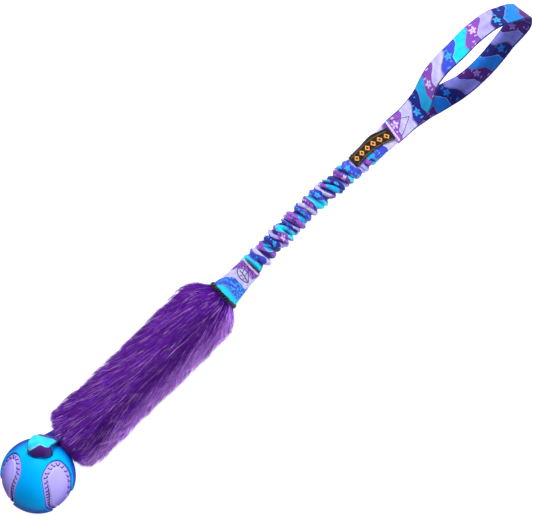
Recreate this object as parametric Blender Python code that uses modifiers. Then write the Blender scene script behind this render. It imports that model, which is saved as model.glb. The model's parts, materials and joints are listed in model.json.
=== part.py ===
"""Bungee tug toy: a rubber ball on a webbing strap, a plush tube, a gathered bungee sleeve and a webbing grip loop.

The toy lies on its side along X: the ball at -X, the grip at +X, Z up, the surface it lies on at Z = 0.
Lengths below are millimetres, with X counted from the centre of the ball. The origin is under the middle of the toy.
"""

import math

import bmesh
import bpy
import numpy as np
from mathutils import Matrix, Vector

# ---------------------------------------------------------------- driving dimensions (mm)
MM = 0.001
GAP = 0.3  # clearance between touching pieces
BALL_R = 32.0  # a 2.5 inch ball
TIP_X = 566.5  # end of the grip loop
SHIFT_X = (TIP_X - BALL_R) / 2  # middle of the whole toy
SKIN_T = 1.5  # blue skin
CORE_R = BALL_R - SKIN_T - GAP
WINDOW_YAW, WINDOW_PITCH = 37.2, 3.3  # direction of the pole that the windows hang from
STRAP_YAW = 42.0  # direction in which the strap leaves the ball
STRAP_ROLL = 0.0
TUNNEL_N = 19.6  # distance of the strap tunnel from the ball's centre
WEB_W, WEB_T = 21.6, 1.7  # handle webbing
STRAP_W, STRAP_T = 20.4, 1.8  # strap through the ball
SWING_X, SWING_Y, SWING_Z = 37.5, 12.0, 28.5  # where the ball's strap leaves the plush
FUR_X0, FUR_X1 = 41.0, 213.0
BAND_X0, BAND_X1 = 213.3, 218.4
NECK_X0, NECK_X1 = 219.0, 251.5
NECK_Z = 12.5
BEND_X = 221.5  # fold line of the flat lower end
SWAY_X = 262.3  # centre of the rounded start of the bungee
BUNGEE_X0, BUNGEE_X1 = 252.2, 373.6
BUNGEE_R = 10.3
UPPER_X0, UPPER_X1 = 374.2, 436.3
BASE_X0, BASE_X1 = 414.0, 436.3
LOOP_X0 = 440.0
BASE_Z = 11.3
LOOP_TILT = 38.0
THREAD_R = 0.32


def clear_scene():
    for obj in list(bpy.data.objects):
        bpy.data.objects.remove(obj, do_unlink=True)


clear_scene()
scene = bpy.context.scene
parts = bpy.data.collections.new("bungee_tug_toy")
cutters = bpy.data.collections.new("cutters")
scene.collection.children.link(parts)
scene.collection.children.link(cutters)
cutters.hide_render = True


# ---------------------------------------------------------------- helpers
def row(x, y, z):
    """A point of the toy in metres in the world frame."""
    return Vector(((x - SHIFT_X) * MM, y * MM, z * MM))


def material(name, colour, roughness, metallic=0.0):
    mat = bpy.data.materials.new(name)
    mat.use_nodes = True
    shader = mat.node_tree.nodes["Principled BSDF"]
    shader.inputs["Base Color"].default_value = (*colour, 1.0)
    shader.inputs["Roughness"].default_value = roughness
    shader.inputs["Metallic"].default_value = metallic
    return mat


def frame_empty(name, at):
    empty = bpy.data.objects.new(name, None)
    empty.empty_display_size = 0.01
    parts.objects.link(empty)
    empty.location = at
    return empty


def finish(obj, mat, parent=None, smooth=True):
    obj.data.materials.clear()
    obj.data.materials.append(mat)
    if smooth and obj.type == "MESH":
        obj.data.shade_smooth()
        obj.data.set_sharp_from_angle(angle=math.radians(40))
    if parent is not None:
        bpy.context.view_layer.update()
        obj.parent = parent
        obj.matrix_parent_inverse = parent.matrix_world.inverted()
    return obj


def mesh_object(name, verts, faces, collection=parts):
    mesh = bpy.data.meshes.new(name)
    mesh.from_pydata([tuple(v) for v in verts], [], faces)
    bm = bmesh.new()
    bm.from_mesh(mesh)
    bmesh.ops.remove_doubles(bm, verts=bm.verts, dist=1e-7)
    bmesh.ops.recalc_face_normals(bm, faces=bm.faces)
    if bm.calc_volume(signed=True) < 0:
        bmesh.ops.reverse_faces(bm, faces=bm.faces)
    bm.to_mesh(mesh)
    bm.free()
    obj = bpy.data.objects.new(name, mesh)
    collection.objects.link(obj)
    return obj


def skin(rings, start=0):
    """Quads between successive rings of equal count."""
    n = len(rings[0])
    faces = []
    for i in range(len(rings) - 1):
        for j in range(n):
            k = (j + 1) % n
            faces.append(
                (
                    start + i * n + j,
                    start + i * n + k,
                    start + (i + 1) * n + k,
                    start + (i + 1) * n + j,
                )
            )
    return faces


def loft(name, rings, collection=parts):
    """A closed solid through rings of points, with flat caps."""
    n = len(rings[0])
    verts = [p for ring in rings for p in ring]
    faces = skin(rings)
    faces.append(tuple(range(n)))
    faces.append(tuple(range(len(verts) - n, len(verts))))
    return mesh_object(name, verts, faces, collection)


def sleeve(name, outer, inner):
    """A tube with an open bore: outer and inner surfaces joined by a rim at each end."""
    n = len(outer[0])
    verts = [p for ring in outer for p in ring] + [p for ring in inner for p in ring]
    base = len(outer) * n
    faces = skin(outer) + skin(inner, base)
    last_out, last_in = (len(outer) - 1) * n, base + (len(inner) - 1) * n
    for j in range(n):
        k = (j + 1) % n
        faces.append((j, k, base + k, base + j))
        faces.append((last_out + j, last_out + k, last_in + k, last_in + j))
    return mesh_object(name, verts, faces)


def interp(x, knots):
    xs, ys = zip(*knots)
    return float(np.interp(x, xs, ys))


def smooth_curve(points, per_span=4, cyclic=False):
    """Catmull-Rom through the given points."""
    pts = [np.array(p, float) for p in points]
    n = len(pts)
    out = []
    spans = n if cyclic else n - 1
    for i in range(spans):
        if cyclic:
            p0, p1, p2, p3 = pts[i - 1], pts[i], pts[(i + 1) % n], pts[(i + 2) % n]
        else:
            p1, p2 = pts[i], pts[i + 1]
            p0 = pts[i - 1] if i else 2 * p1 - p2
            p3 = pts[i + 2] if i + 2 < n else 2 * p2 - p1
        for k in range(per_span):
            t = k / per_span
            out.append(
                0.5
                * (
                    2 * p1
                    + (p2 - p0) * t
                    + (2 * p0 - 5 * p1 + 4 * p2 - p3) * t * t
                    + (3 * p1 - p0 - 3 * p2 + p3) * t**3
                )
            )
    if not cyclic:
        out.append(pts[-1])
    return out


def oval(centre, across, up, half_w, half_h, count, power=2.0):
    """A superellipse of points about centre, in the plane of across and up."""
    ring = []
    for j in range(count):
        a = 2 * math.pi * j / count
        c, s = math.cos(a), math.sin(a)
        ring.append(
            centre
            + across * (half_w * math.copysign(abs(c) ** (2 / power), c))
            + up * (half_h * math.copysign(abs(s) ** (2 / power), s))
        )
    return ring


def band_ring(centre, width_dir, thick_dir, half_w, half_t):
    """The eight-sided section of flat webbing: a rectangle with its corners taken off."""
    c = min(half_t * 0.6, 0.6)
    shape = [
        (half_w, half_t - c),
        (half_w - c, half_t),
        (-half_w + c, half_t),
        (-half_w, half_t - c),
        (-half_w, -half_t + c),
        (-half_w + c, -half_t),
        (half_w - c, -half_t),
        (half_w, -half_t + c),
    ]
    return [centre + width_dir * u + thick_dir * v for u, v in shape]


def ribbon(name, path, widths, half_w, half_t):
    """Webbing swept along path (mm, toy frame), lying across the given width directions."""
    rings = []
    for i, p in enumerate(path):
        tangent = path[min(i + 1, len(path) - 1)] - path[max(i - 1, 0)]
        w = widths[i]
        w = w - tangent * (w @ tangent) / (tangent @ tangent)
        w = w / np.linalg.norm(w)
        t = np.cross(tangent, w)
        t = t / np.linalg.norm(t)
        rings.append(band_ring(p, w, t, half_w, half_t))
    return loft(name, [[row(*q) for q in ring] for ring in rings])


def thread(name, points, radius=THREAD_R, cyclic=False):
    """One run of sewing thread through points in the toy frame."""
    curve = bpy.data.curves.new(name, "CURVE")
    curve.dimensions = "3D"
    curve.bevel_depth = radius * MM
    curve.bevel_resolution = 1
    curve.use_fill_caps = True
    spline = curve.splines.new("POLY")
    spline.points.add(len(points) - 1)
    for slot, p in zip(spline.points, points):
        slot.co = (*row(*p), 1.0)
    spline.use_cyclic_u = cyclic
    obj = bpy.data.objects.new(name, curve)
    parts.objects.link(obj)
    return obj


def boolean(obj, cutter, operation="DIFFERENCE", solver="EXACT"):
    mod = obj.modifiers.new(operation.lower() + "_" + cutter.name, "BOOLEAN")
    mod.operation = operation
    mod.object = cutter
    mod.solver = solver
    return mod


def as_cutter(obj):
    for c in list(obj.users_collection):
        c.objects.unlink(obj)
    cutters.objects.link(obj)
    obj.hide_render = True
    obj.display_type = "WIRE"
    return obj


# ---------------------------------------------------------------- materials
blue_rubber = material("blue_rubber", (0.0, 0.32, 0.86), 0.35)
lilac_rubber = material("lilac_rubber", (0.56, 0.47, 0.88), 0.5)
purple_plush = material("purple_plush", (0.11, 0.02, 0.3), 0.9)
printed_webbing = material("printed_webbing", (0.2, 0.3, 0.85), 0.6)
printed_sleeve = material("printed_sleeve", (0.12, 0.45, 0.9), 0.5)
black_binding = material("black_binding", (0.01, 0.01, 0.012), 0.7)
black_label = material("black_label", (0.012, 0.012, 0.012), 0.6)
dark_thread = material("dark_thread", (0.03, 0.03, 0.08), 0.6)
pale_thread = material("pale_thread", (0.8, 0.72, 0.85), 0.6)
latex = material("latex", (0.75, 0.68, 0.5), 0.5)
braid = material("braid", (0.05, 0.05, 0.06), 0.8)

# ---------------------------------------------------------------- frames of the moving parts
fur_frame = frame_empty("fur_frame", row(SWING_X, SWING_Y, SWING_Z))
ball_frame = frame_empty("ball_frame", row(SWING_X, SWING_Y, SWING_Z))
neck_frame = frame_empty("neck_frame", row(BEND_X, 1.0, NECK_Z))
bungee_frame = frame_empty("bungee_frame", row(SWAY_X, 2.5, 11.0))
upper_frame = frame_empty("upper_frame", row(UPPER_X0, 3.0, 11.0))
loop_frame = frame_empty("loop_frame", row(LOOP_X0, 0.8, BASE_Z))
bpy.context.view_layer.update()

# ---------------------------------------------------------------- the ball
BALL_C = np.array((0.0, 0.0, BALL_R))


def unit(v):
    v = np.array(v, float)
    return v / np.linalg.norm(v)


yaw, pitch = math.radians(WINDOW_YAW), math.radians(WINDOW_PITCH)
POLE = unit(
    (
        math.cos(pitch) * math.cos(yaw),
        math.cos(pitch) * math.sin(yaw),
        math.sin(pitch),
    )
)
UPWARD = unit(
    np.array((-0.145, 0.097, 0.984)) - POLE * (np.array((-0.145, 0.097, 0.984)) @ POLE)
)
SIDE = np.cross(POLE, UPWARD)  # to the right of the rib between two windows


def ball_point(theta, phi, radius):
    """A point by its angle from the pole and its angle round the pole, both in degrees."""
    t, p = math.radians(theta), math.radians(phi)
    d = POLE * math.cos(t) + (UPWARD * math.cos(p) + SIDE * math.sin(p)) * math.sin(t)
    return BALL_C + d * radius


# A window's two borders, in degrees round the pole from its own middle, at each angle from the pole.
# WIDE faces the broad rib; NARROW faces the spike that ends part-way down, below which two windows are one.
WIDE = [
    (58.2, 5.5),
    (60.5, 11.5),
    (63.5, 16.6),
    (69.0, 22.2),
    (77.0, 26.3),
    (85.0, 28.2),
    (93.0, 27.2),
    (101.0, 24.6),
    (109.0, 21.4),
    (116.0, 18.6),
    (123.0, 15.2),
    (130.0, 10.8),
    (136.0, 6.2),
    (140.0, 1.8),
]
NARROW = [
    (58.2, 4.5),
    (60.5, 8.6),
    (63.0, 12.8),
    (68.0, 20.2),
    (73.0, 25.8),
    (81.0, 30.9),
    (89.0, 34.0),
    (96.0, 36.4),
    (101.0, 39.8),
    (103.4, 42.8),
    (104.4, 46.0),
    (115.0, 46.0),
    (126.0, 46.0),
    (137.0, 46.0),
]
FOOT = [(148.0, 46.0), (147.7, 36.0), (146.8, 24.0), (145.2, 12.0), (143.0, 4.0)]


def window_outline(index):
    centre = 45.0 + 90.0 * index
    side = 1.0 if index % 2 == 0 else -1.0
    outline = [(56.8, 0.0)] + NARROW + FOOT + [(t, -w) for t, w in reversed(WIDE)]
    return [(t, centre + side * w) for t, w in outline]


def window_cutter(index):
    outline = window_outline(index)
    rings = []
    for radius in (BALL_R * 0.78, BALL_R * 1.12):
        rings.append([row(*ball_point(t, p, radius)) for t, p in outline])
    n = len(outline)
    centre_phi = 45.0 + 90.0 * index + (10.0 if index % 2 == 0 else -10.0)
    verts = rings[0] + rings[1]
    verts.append(row(*ball_point(105.0, centre_phi, BALL_R * 0.78)))
    verts.append(row(*ball_point(105.0, centre_phi, BALL_R * 1.12)))
    faces = skin(rings)
    for j in range(n):
        k = (j + 1) % n
        faces.append((j, k, 2 * n))
        faces.append((n + j, n + k, 2 * n + 1))
    obj = mesh_object("window_cutter_%d" % index, verts, faces, cutters)
    return as_cutter(obj)


# The strap tunnel's own directions: STRAP_N away from the ball, STRAP_W_DIR across the strap, STRAP_UP along the tunnel.
sy, sr = math.radians(STRAP_YAW), math.radians(STRAP_ROLL)
STRAP_N = np.array((math.cos(sy), math.sin(sy), 0.0))
STRAP_W_DIR = np.array(
    (math.sin(sy) * math.cos(sr), -math.cos(sy) * math.cos(sr), math.sin(sr))
)
STRAP_UP = np.cross(STRAP_W_DIR, STRAP_N)


def strap_point(n, up, w=0.0):
    return BALL_C + STRAP_N * n + STRAP_UP * up + STRAP_W_DIR * w


def tunnel_cutter(name, half_w, half_h, flare):
    rings = []
    for a in (-40.0, -29.0, -25.0, -21.0, -14.0, 14.0, 21.0, 25.0, 29.0, 40.0):
        f = flare * max(0.0, (abs(a) - 14.0) / 14.0) ** 2
        c = TUNNEL_N + 0.35 * f
        ring = []
        for p in oval(
            np.zeros(3),
            np.array((1.0, 0, 0)),
            np.array((0, 1.0, 0)),
            half_w + 0.35 * f,
            half_h + f,
            16,
            5.0,
        ):
            ring.append(row(*strap_point(c + p[1], a, p[0])))
        rings.append(ring)
    return as_cutter(loft(name, rings, cutters))


def sphere(name, radius, segments, rings, axis_z=POLE, axis_x=UPWARD):
    bpy.ops.mesh.primitive_uv_sphere_add(
        segments=segments, ring_count=rings, radius=radius * MM, location=(0, 0, 0)
    )
    obj = bpy.context.active_object
    obj.name = name
    obj.data.name = name
    for c in list(obj.users_collection):
        c.objects.unlink(obj)
    parts.objects.link(obj)
    axis_y = np.cross(axis_z, axis_x)
    turn = Matrix([axis_x, axis_y, axis_z]).transposed().to_4x4()
    obj.data.transform(turn)
    obj.location = row(*BALL_C)
    bpy.context.view_layer.update()
    return obj


tunnel = tunnel_cutter("tunnel_cutter", 11.5, 2.6, 2.4)
core = sphere("ball_core", CORE_R, 36, 18)
boolean(core, tunnel)
finish(core, lilac_rubber, ball_frame)

shell = sphere("ball_shell", BALL_R, 40, 20)
solid = shell.modifiers.new("thickness", "SOLIDIFY")
solid.thickness = SKIN_T * MM
solid.offset = -1.0
for i in range(4):
    boolean(shell, window_cutter(i))
boolean(shell, tunnel)
finish(shell, blue_rubber, ball_frame)

# The strap: through the tunnel, round the shoulder of the ball on both sides, both ends together at the throat.
HALF_RING = [
    (20.2, 0.0),
    (20.2, 12.0),
    (20.2, 22.5),
    (20.9, 25.4),
    (22.7, 27.1),
    (25.0, 26.8),
    (27.3, 24.4),
    (29.6, 19.8),
    (31.5, 14.0),
    (33.2, 8.0),
    (34.0, 4.2),
    (34.3, 1.9),
]
half = smooth_curve([(n, a, 0.0) for n, a in HALF_RING], 2)
ring_path = [strap_point(p[0], -p[1]) for p in reversed(half)] + [
    strap_point(p[0], p[1]) for p in half[1:]
]
loop = ribbon(
    "ball_loop",
    ring_path,
    [STRAP_W_DIR] * len(ring_path),
    STRAP_W / 2,
    STRAP_T / 2,
)
THROAT = strap_point(33.3, 0.0)
PIVOT = np.array((SWING_X, SWING_Y, SWING_Z))
ACROSS_Y = np.array((0.0, -1.0, 0.0))
neck_rings = []
STEPS = 8
for i in range(STEPS + 1):
    s = i / STEPS
    centre = THROAT * (1 - s) + PIVOT * s
    span = STRAP_W_DIR * 10.0 * (1 - s) + ACROSS_Y * 5.8 * s
    w = unit(span)
    up = unit(np.array((0.0, 0, 1.0)) - w * w[2])
    half_w = np.linalg.norm(span)
    half_h = 2.4 * (1 - s) + 3.1 * s
    neck_rings.append(oval(centre, w, up, half_w, half_h, 16, 3.0))
# The end is rounded about the fold line.
for turn in (30.0, 60.0, 80.0):
    c, s = math.cos(math.radians(turn)), math.sin(math.radians(turn))
    neck_rings.append(
        oval(
            PIVOT + np.array((3.1 * s, 0, 0)),
            ACROSS_Y,
            np.array((0, 0, 1.0)),
            5.8 - 0.8 * s,
            3.1 * c,
            16,
            3.0,
        )
    )
neck_piece = as_cutter(
    loft("ball_loop_neck", [[row(*q) for q in r] for r in neck_rings], cutters)
)
boolean(loop, neck_piece, "UNION", "MANIFOLD")
finish(loop, printed_webbing, ball_frame)

# ---------------------------------------------------------------- the plush tube and the strap inside it
SPINE = [
    (41.0, 6.6, 27.8),
    (50.0, 5.0, 26.0),
    (70.0, 2.0, 21.5),
    (100.0, 1.0, 18.5),
    (150.0, 1.3, 16.5),
    (190.0, 1.6, 14.0),
    (213.0, 1.4, 12.7),
    (219.0, 1.2, NECK_Z),
]


def spine(x):
    ys = [(p[0], p[1]) for p in SPINE]
    zs = [(p[0], p[2]) for p in SPINE]
    return interp(x, ys), interp(x, zs)


Y_DIR, Z_DIR = np.array((0.0, 1.0, 0.0)), np.array((0.0, 0.0, 1.0))
STRAP_BUNCH = [(41.0, 6.3, 2.9), (50.0, 8.0, 2.6), (70.0, 10.3, 1.9), (218.4, 10.3, 1.9)]


def strap_size(x):
    return (
        interp(x, [(a, b) for a, b, c in STRAP_BUNCH]),
        interp(x, [(a, c) for a, b, c in STRAP_BUNCH]),
    )


core_rings = []
for x in (41.4, 45, 50, 57, 64, 74, 90, 115, 150, 180, 205, 218.3):
    y, z = spine(x)
    hw, hh = strap_size(x)
    core_rings.append(oval(np.array((x, y, z)), Y_DIR, Z_DIR, hw, hh, 12, 3.4))
core_strap = loft("core_strap", [[row(*q) for q in r] for r in core_rings])
finish(core_strap, printed_webbing, fur_frame)

# Outer shape of the plush: centre line, half-width and height at each place along it.
PLUSH = [
    # x, y, half width, top of the pile
    (41.0, 3.2, 17.6, 36.0),
    (42.6, 2.2, 20.6, 38.0),
    (46.0, 1.4, 22.8, 39.4),
    (56.0, 1.2, 24.4, 40.4),
    (75.0, 1.1, 24.2, 40.0),
    (100.0, 1.0, 24.0, 39.0),
    (125.0, 1.1, 24.4, 38.0),
    (150.0, 1.3, 24.6, 36.8),
    (170.0, 1.6, 24.4, 35.2),
    (185.0, 2.0, 24.2, 33.2),
    (196.0, 1.9, 23.2, 30.6),
    (204.0, 1.6, 20.4, 27.0),
    (210.0, 1.4, 16.2, 22.6),
    (213.0, 1.3, 12.6, 18.6),
]


def plush_ring(x, y, half_w, top, count):
    """An oval whose underside is flat where the pile is pressed on the ground."""
    end_lift = 4.0 if x <= 41.0 else 2.0 if x <= 43.0 else 0.0
    if x >= 210.0:
        end_lift = 2.2 if x < 212.0 else 6.6
    low = -2.6 + end_lift * 1.35
    centre_z, half_h = (top + low) / 2, (top - low) / 2
    ring = []
    for q in oval(np.array((x, y, centre_z)), Y_DIR, Z_DIR, half_w, half_h, count, 2.25):
        ring.append(row(q[0], q[1], max(q[2], 0.0)))
    return ring


SEG = 24
outer = [plush_ring(*p, SEG) for p in PLUSH]
inner = []
for x in (41.0, 47.0, 56.0, 75.0, 100.0, 150.0, 190.0, 213.0):
    y, z = spine(x)
    hw, hh = strap_size(x)
    extra = 1.4 if x < 75 else 1.0
    inner.append(
        [
            row(*q)
            for q in oval(
                np.array((x, y, z)), Y_DIR, Z_DIR, hw + extra, hh + extra, SEG, 3.0
            )
        ]
    )
fur = sleeve("fur_sleeve", outer, inner)
finish(fur, purple_plush, fur_frame)

# Bar tack across the strap inside the mouth of the plush.
tack = []
for i in range(15):
    x = 47.0 + (1.6 if i % 2 else 0.0)
    y, z = spine(x)
    hw, hh = strap_size(x)
    tack.append((x, y - 5.0 + 10.0 * i / 14.0, z + hh + THREAD_R + 0.25))
finish(
    thread("strap_bar_tack", tack, 0.28),
    dark_thread,
    fur_frame,
    smooth=False,
)

# Binding at the mouth of the plush, and the thread round it.
outer, inner = [], []
for x, hw, hh in (
    (BAND_X0, 12.6, 6.0),
    (BAND_X0 + 0.9, 13.3, 6.7),
    ((BAND_X0 + BAND_X1) / 2, 13.5, 6.9),
    (BAND_X1 - 0.9, 13.2, 6.6),
    (BAND_X1, 12.5, 5.9),
):
    y, z = spine(x)
    outer.append(
        [row(*q) for q in oval(np.array((x, y, z)), Y_DIR, Z_DIR, hw, hh, SEG, 2.4)]
    )
for x in (BAND_X0, BAND_X1):
    y, z = spine(x)
    inner.append(
        [row(*q) for q in oval(np.array((x, y, z)), Y_DIR, Z_DIR, 11.0, 3.0, SEG, 3.0)]
    )
band = sleeve("neck_band", outer, inner)
finish(band, black_binding, fur_frame)
wrap = []
TURNS = 22
for i in range(TURNS * 2):
    a = 2 * math.pi * i / (TURNS * 2)
    x = (BAND_X0 + BAND_X1) / 2 + (1.0 if i % 2 else -1.0)
    y, z = spine(x)
    c, s = math.cos(a), math.sin(a)
    wrap.append(
        (
            x,
            y + 14.25 * math.copysign(abs(c) ** (2 / 2.4), c),
            z + 7.65 * math.copysign(abs(s) ** (2 / 2.4), s),
        )
    )
finish(
    thread("neck_stitching", wrap, 0.28, cyclic=True),
    black_binding,
    fur_frame,
    smooth=False,
)


# ---------------------------------------------------------------- the flat lower end of the bungee sleeve
def mid_y(x):
    return interp(
        x,
        [
            (219, 1.2),
            (235, 1.6),
            (252, 2.4),
            (275, 3.4),
            (300, 4.4),
            (318, 5.0),
            (335, 4.6),
            (352, 3.6),
            (374, 3.0),
            (400, 2.6),
            (425, 1.4),
            (440, 0.8),
        ],
    )


flat_rings = []
for x, hw, hh in (
    (NECK_X0, 10.6, 0.4),
    (NECK_X0 + 0.5, 11.0, 1.5),
    (NECK_X0 + 1.4, 11.0, 2.2),
    (BEND_X, 10.9, 2.5),
    (228.0, 10.2, 2.6),
    (236.0, 9.7, 2.7),
    (244.0, 9.5, 2.9),
    (249.0, 9.6, 3.0),
    (NECK_X1, 9.6, 3.0),
):
    flat_rings.append(
        [
            row(*q)
            for q in oval(
                np.array((x, mid_y(x), NECK_Z - 0.03 * (x - NECK_X0))),
                Y_DIR,
                Z_DIR,
                hw,
                hh,
                16,
                4.0,
            )
        ]
    )
lower_end = loft("sleeve_lower_end", flat_rings)
finish(lower_end, printed_sleeve, neck_frame)


def lower_top(x):
    return NECK_Z - 0.03 * (x - NECK_X0) + interp(
        x, [(BEND_X, 2.5), (236, 2.7), (249, 3.0)]
    )


# The thread line on it: a leaf with a bowed base.
leaf = smooth_curve(
    [
        (238.5, 5.2),
        (243.6, 0.8),
        (240.8, -1.6),
        (242.2, -3.2),
        (237.6, -6.4),
        (234.6, -4.6),
        (233.6, -0.6),
        (234.6, 3.2),
    ],
    3,
    cyclic=True,
)
finish(
    thread(
        "lower_stitching",
        [(x, mid_y(x) + y, lower_top(x) + THREAD_R + GAP) for x, y in leaf],
        cyclic=True,
    ),
    dark_thread,
    neck_frame,
    smooth=False,
)
tack = []
for i in range(25):
    x = 249.6 + (1.1 if i % 2 else 0.0)
    y = -7.6 + 15.2 * i / 24.0
    tack.append((x, mid_y(x) + y, lower_top(249) + 0.28 + GAP))
finish(thread("lower_bar_tack", tack, 0.28), pale_thread, neck_frame, smooth=False)

# ---------------------------------------------------------------- the bungee and its gathered sleeve
BUNGEE_Z = 11.0
RUFFLES = 15
start = BUNGEE_X0
outer = []
steps = 45
for i in range(steps + 1):
    x = BUNGEE_X0 + (BUNGEE_X1 - BUNGEE_X0) * i / steps
    wave = 0.75 * math.sin(
        2 * math.pi * RUFFLES * (x - BUNGEE_X0) / (BUNGEE_X1 - BUNGEE_X0)
    )
    r = BUNGEE_R + wave
    # rounded start, so that it can sway about its own centre
    d = SWAY_X - x
    if d > 0:
        r = min(r, math.sqrt(max(10.1**2 - d * d, 3.0)))
    centre = np.array((x, mid_y(x), BUNGEE_Z))
    outer.append([row(*q) for q in oval(centre, Y_DIR, Z_DIR, r, min(r, 10.7), 16)])
inner = []
for x in np.linspace(BUNGEE_X0, BUNGEE_X1, 12):
    r = 4.7 if x > SWAY_X - 2 else 4.7 - 0.36 * (SWAY_X - 2 - x)
    inner.append(
        [
            row(*q)
            for q in oval(
                np.array((x, mid_y(x), BUNGEE_Z)), Y_DIR, Z_DIR, max(r, 1.0), max(r, 1.0), 16
            )
        ]
    )
ruffles = sleeve("bungee_sleeve", outer, inner)
finish(ruffles, printed_sleeve, bungee_frame)

JACKET_X0, JACKET_X1 = 261.5, 372.5
outer, inner = [], []
for x in np.linspace(JACKET_X0, JACKET_X1, 10):
    c = np.array((x, mid_y(x), BUNGEE_Z))
    outer.append([row(*q) for q in oval(c, Y_DIR, Z_DIR, 4.1, 4.1, 16)])
    inner.append([row(*q) for q in oval(c, Y_DIR, Z_DIR, 3.4, 3.4, 16)])
finish(sleeve("bungee_jacket", outer, inner), braid, bungee_frame)
rod = []
for x in np.linspace(JACKET_X0 + 0.2, JACKET_X1 - 0.2, 10):
    rod.append(
        [
            row(*q)
            for q in oval(
                np.array((x, mid_y(x), BUNGEE_Z)), Y_DIR, Z_DIR, 3.05, 3.05, 16
            )
        ]
    )
finish(loft("bungee_core", rod), latex, bungee_frame)

# ---------------------------------------------------------------- the flattened upper end, and the label on it
UPPER = [
    (UPPER_X0, 9.9, 8.2),
    (378.0, 10.0, 8.4),
    (384.0, 10.1, 7.4),
    (392.0, 10.2, 6.0),
    (400.0, 10.3, 4.6),
    (407.0, 10.3, 3.0),
    (412.5, 10.2, 1.6),
    (415.0, 10.2, 1.1),
    (UPPER_X1, 10.2, 1.1),
]


def upper_size(x):
    return (
        interp(x, [(a, b) for a, b, c in UPPER]),
        interp(x, [(a, c) for a, b, c in UPPER]),
    )


UPPER_POWER = 2.6
rings = []
for x, hw, hh in UPPER:
    z = interp(x, [(UPPER_X0, 11.0), (412.5, BASE_Z)])
    rings.append(
        [
            row(*q)
            for q in oval(
                np.array((x, mid_y(x), z)), Y_DIR, Z_DIR, hw, hh, 20, UPPER_POWER
            )
        ]
    )
upper_end = loft("sleeve_upper_end", rings)
finish(upper_end, printed_sleeve, upper_frame)

# The label is folded over the +Y edge: an arc of the same oval, offset outward.
LABEL_T = 0.7
rings = []
for x in (375.0, 380.0, 386.0, 392.0, 398.0, 404.0, 409.0, 412.6):
    hw, hh = upper_size(x)
    z = interp(x, [(UPPER_X0, 11.0), (412.5, BASE_Z)])
    arc_out, arc_in = [], []
    for j in range(17):
        a = math.radians(-80.0 + 170.0 * j / 16.0)
        c, s = math.cos(a), math.sin(a)
        cy = math.copysign(abs(c) ** (2 / UPPER_POWER), c)
        cz = math.copysign(abs(s) ** (2 / UPPER_POWER), s)
        lift = 0.45
        arc_in.append(
            row(x, mid_y(x) + cy * (hw + lift) + 0.0, z + cz * (hh + lift))
        )
        arc_out.append(
            row(
                x,
                mid_y(x) + cy * (hw + lift + LABEL_T),
                z + cz * (hh + lift + LABEL_T),
            )
        )
    rings.append(arc_out + arc_in[::-1])
label = loft("label", rings)
finish(label, black_label, upper_frame)

run = []
for i in range(19):
    x = 376.5 + 34.5 * i / 18.0
    hw, hh = upper_size(x)
    z = interp(x, [(UPPER_X0, 11.0), (412.5, BASE_Z)])
    a = math.radians(84.0)
    c, s = math.cos(a), math.sin(a)
    cy, cz = abs(c) ** (2 / UPPER_POWER), abs(s) ** (2 / UPPER_POWER)
    off = 0.45 + LABEL_T + 0.3 + (0.55 if i % 2 else 0.28)
    run.append((x, mid_y(x) + cy * (hw + off), z + cz * (hh + off)))
finish(
    thread("label_stitching", run, 0.25), dark_thread, upper_frame, smooth=False
)

# ---------------------------------------------------------------- the stitched foot of the handle webbing
PLY_OFFSET = 1.1 + GAP + WEB_T / 2 + 0.05
for name, side in (("handle_base_top", 1), ("handle_base_bottom", -1)):
    path, widths = [], []
    for x in np.linspace(BASE_X0, BASE_X1, 7):
        path.append(np.array((x, mid_y(x) - 0.2, BASE_Z + side * PLY_OFFSET)))
        widths.append(Y_DIR)
    finish(
        ribbon(name, path, widths, WEB_W / 2, WEB_T / 2), printed_webbing, upper_frame
    )
TOP_Z = BASE_Z + PLY_OFFSET + WEB_T / 2
triangle = []
CORNERS = [(419.5, 8.0), (434.0, 0.4), (420.5, -7.6)]
for i in range(3):
    (x0, y0), (x1, y1) = CORNERS[i], CORNERS[(i + 1) % 3]
    for k in range(6):
        s = k / 6
        x, y = x0 + (x1 - x0) * s, y0 + (y1 - y0) * s
        triangle.append((x, mid_y(x) + y, TOP_Z + THREAD_R + GAP))
finish(
    thread("handle_stitching", triangle, cyclic=True),
    dark_thread,
    upper_frame,
    smooth=False,
)
tack = []
for i in range(29):
    x = 415.4 + (1.0 if i % 2 else 0.0)
    y = -9.4 + 18.8 * i / 28.0
    tack.append((x, mid_y(x) + y, TOP_Z + 0.28 + GAP))
finish(thread("upper_bar_tack", tack, 0.28), pale_thread, upper_frame, smooth=False)

# ---------------------------------------------------------------- the grip loop
# Half of the loop: distance along the toy, and half of the opening across it.
HALF_LOOP = [
    (LOOP_X0, 2.3),
    (445.0, 3.4),
    (451.5, 7.4),
    (460.0, 12.2),
    (470.0, 16.0),
    (480.0, 18.4),
    (492.0, 20.2),
    (505.0, 21.3),
    (517.0, 21.6),
    (530.0, 20.0),
    (542.0, 16.6),
    (552.0, 12.0),
    (560.6, 6.8),
    (565.65, 0.0),
]


def smoothstep(x, a, b):
    t = min(max((x - a) / (b - a), 0.0), 1.0)
    return t * t * (3 - 2 * t)


def loop_frame_at(x):
    tilt = math.radians(LOOP_TILT) * smoothstep(x, LOOP_X0, 474.0)
    y = 0.8 + 1.1 * smoothstep(x, LOOP_X0, 520.0)
    z = BASE_Z + 12.9 * smoothstep(x, LOOP_X0 - 2, 484.0)
    return tilt, y, z


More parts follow.
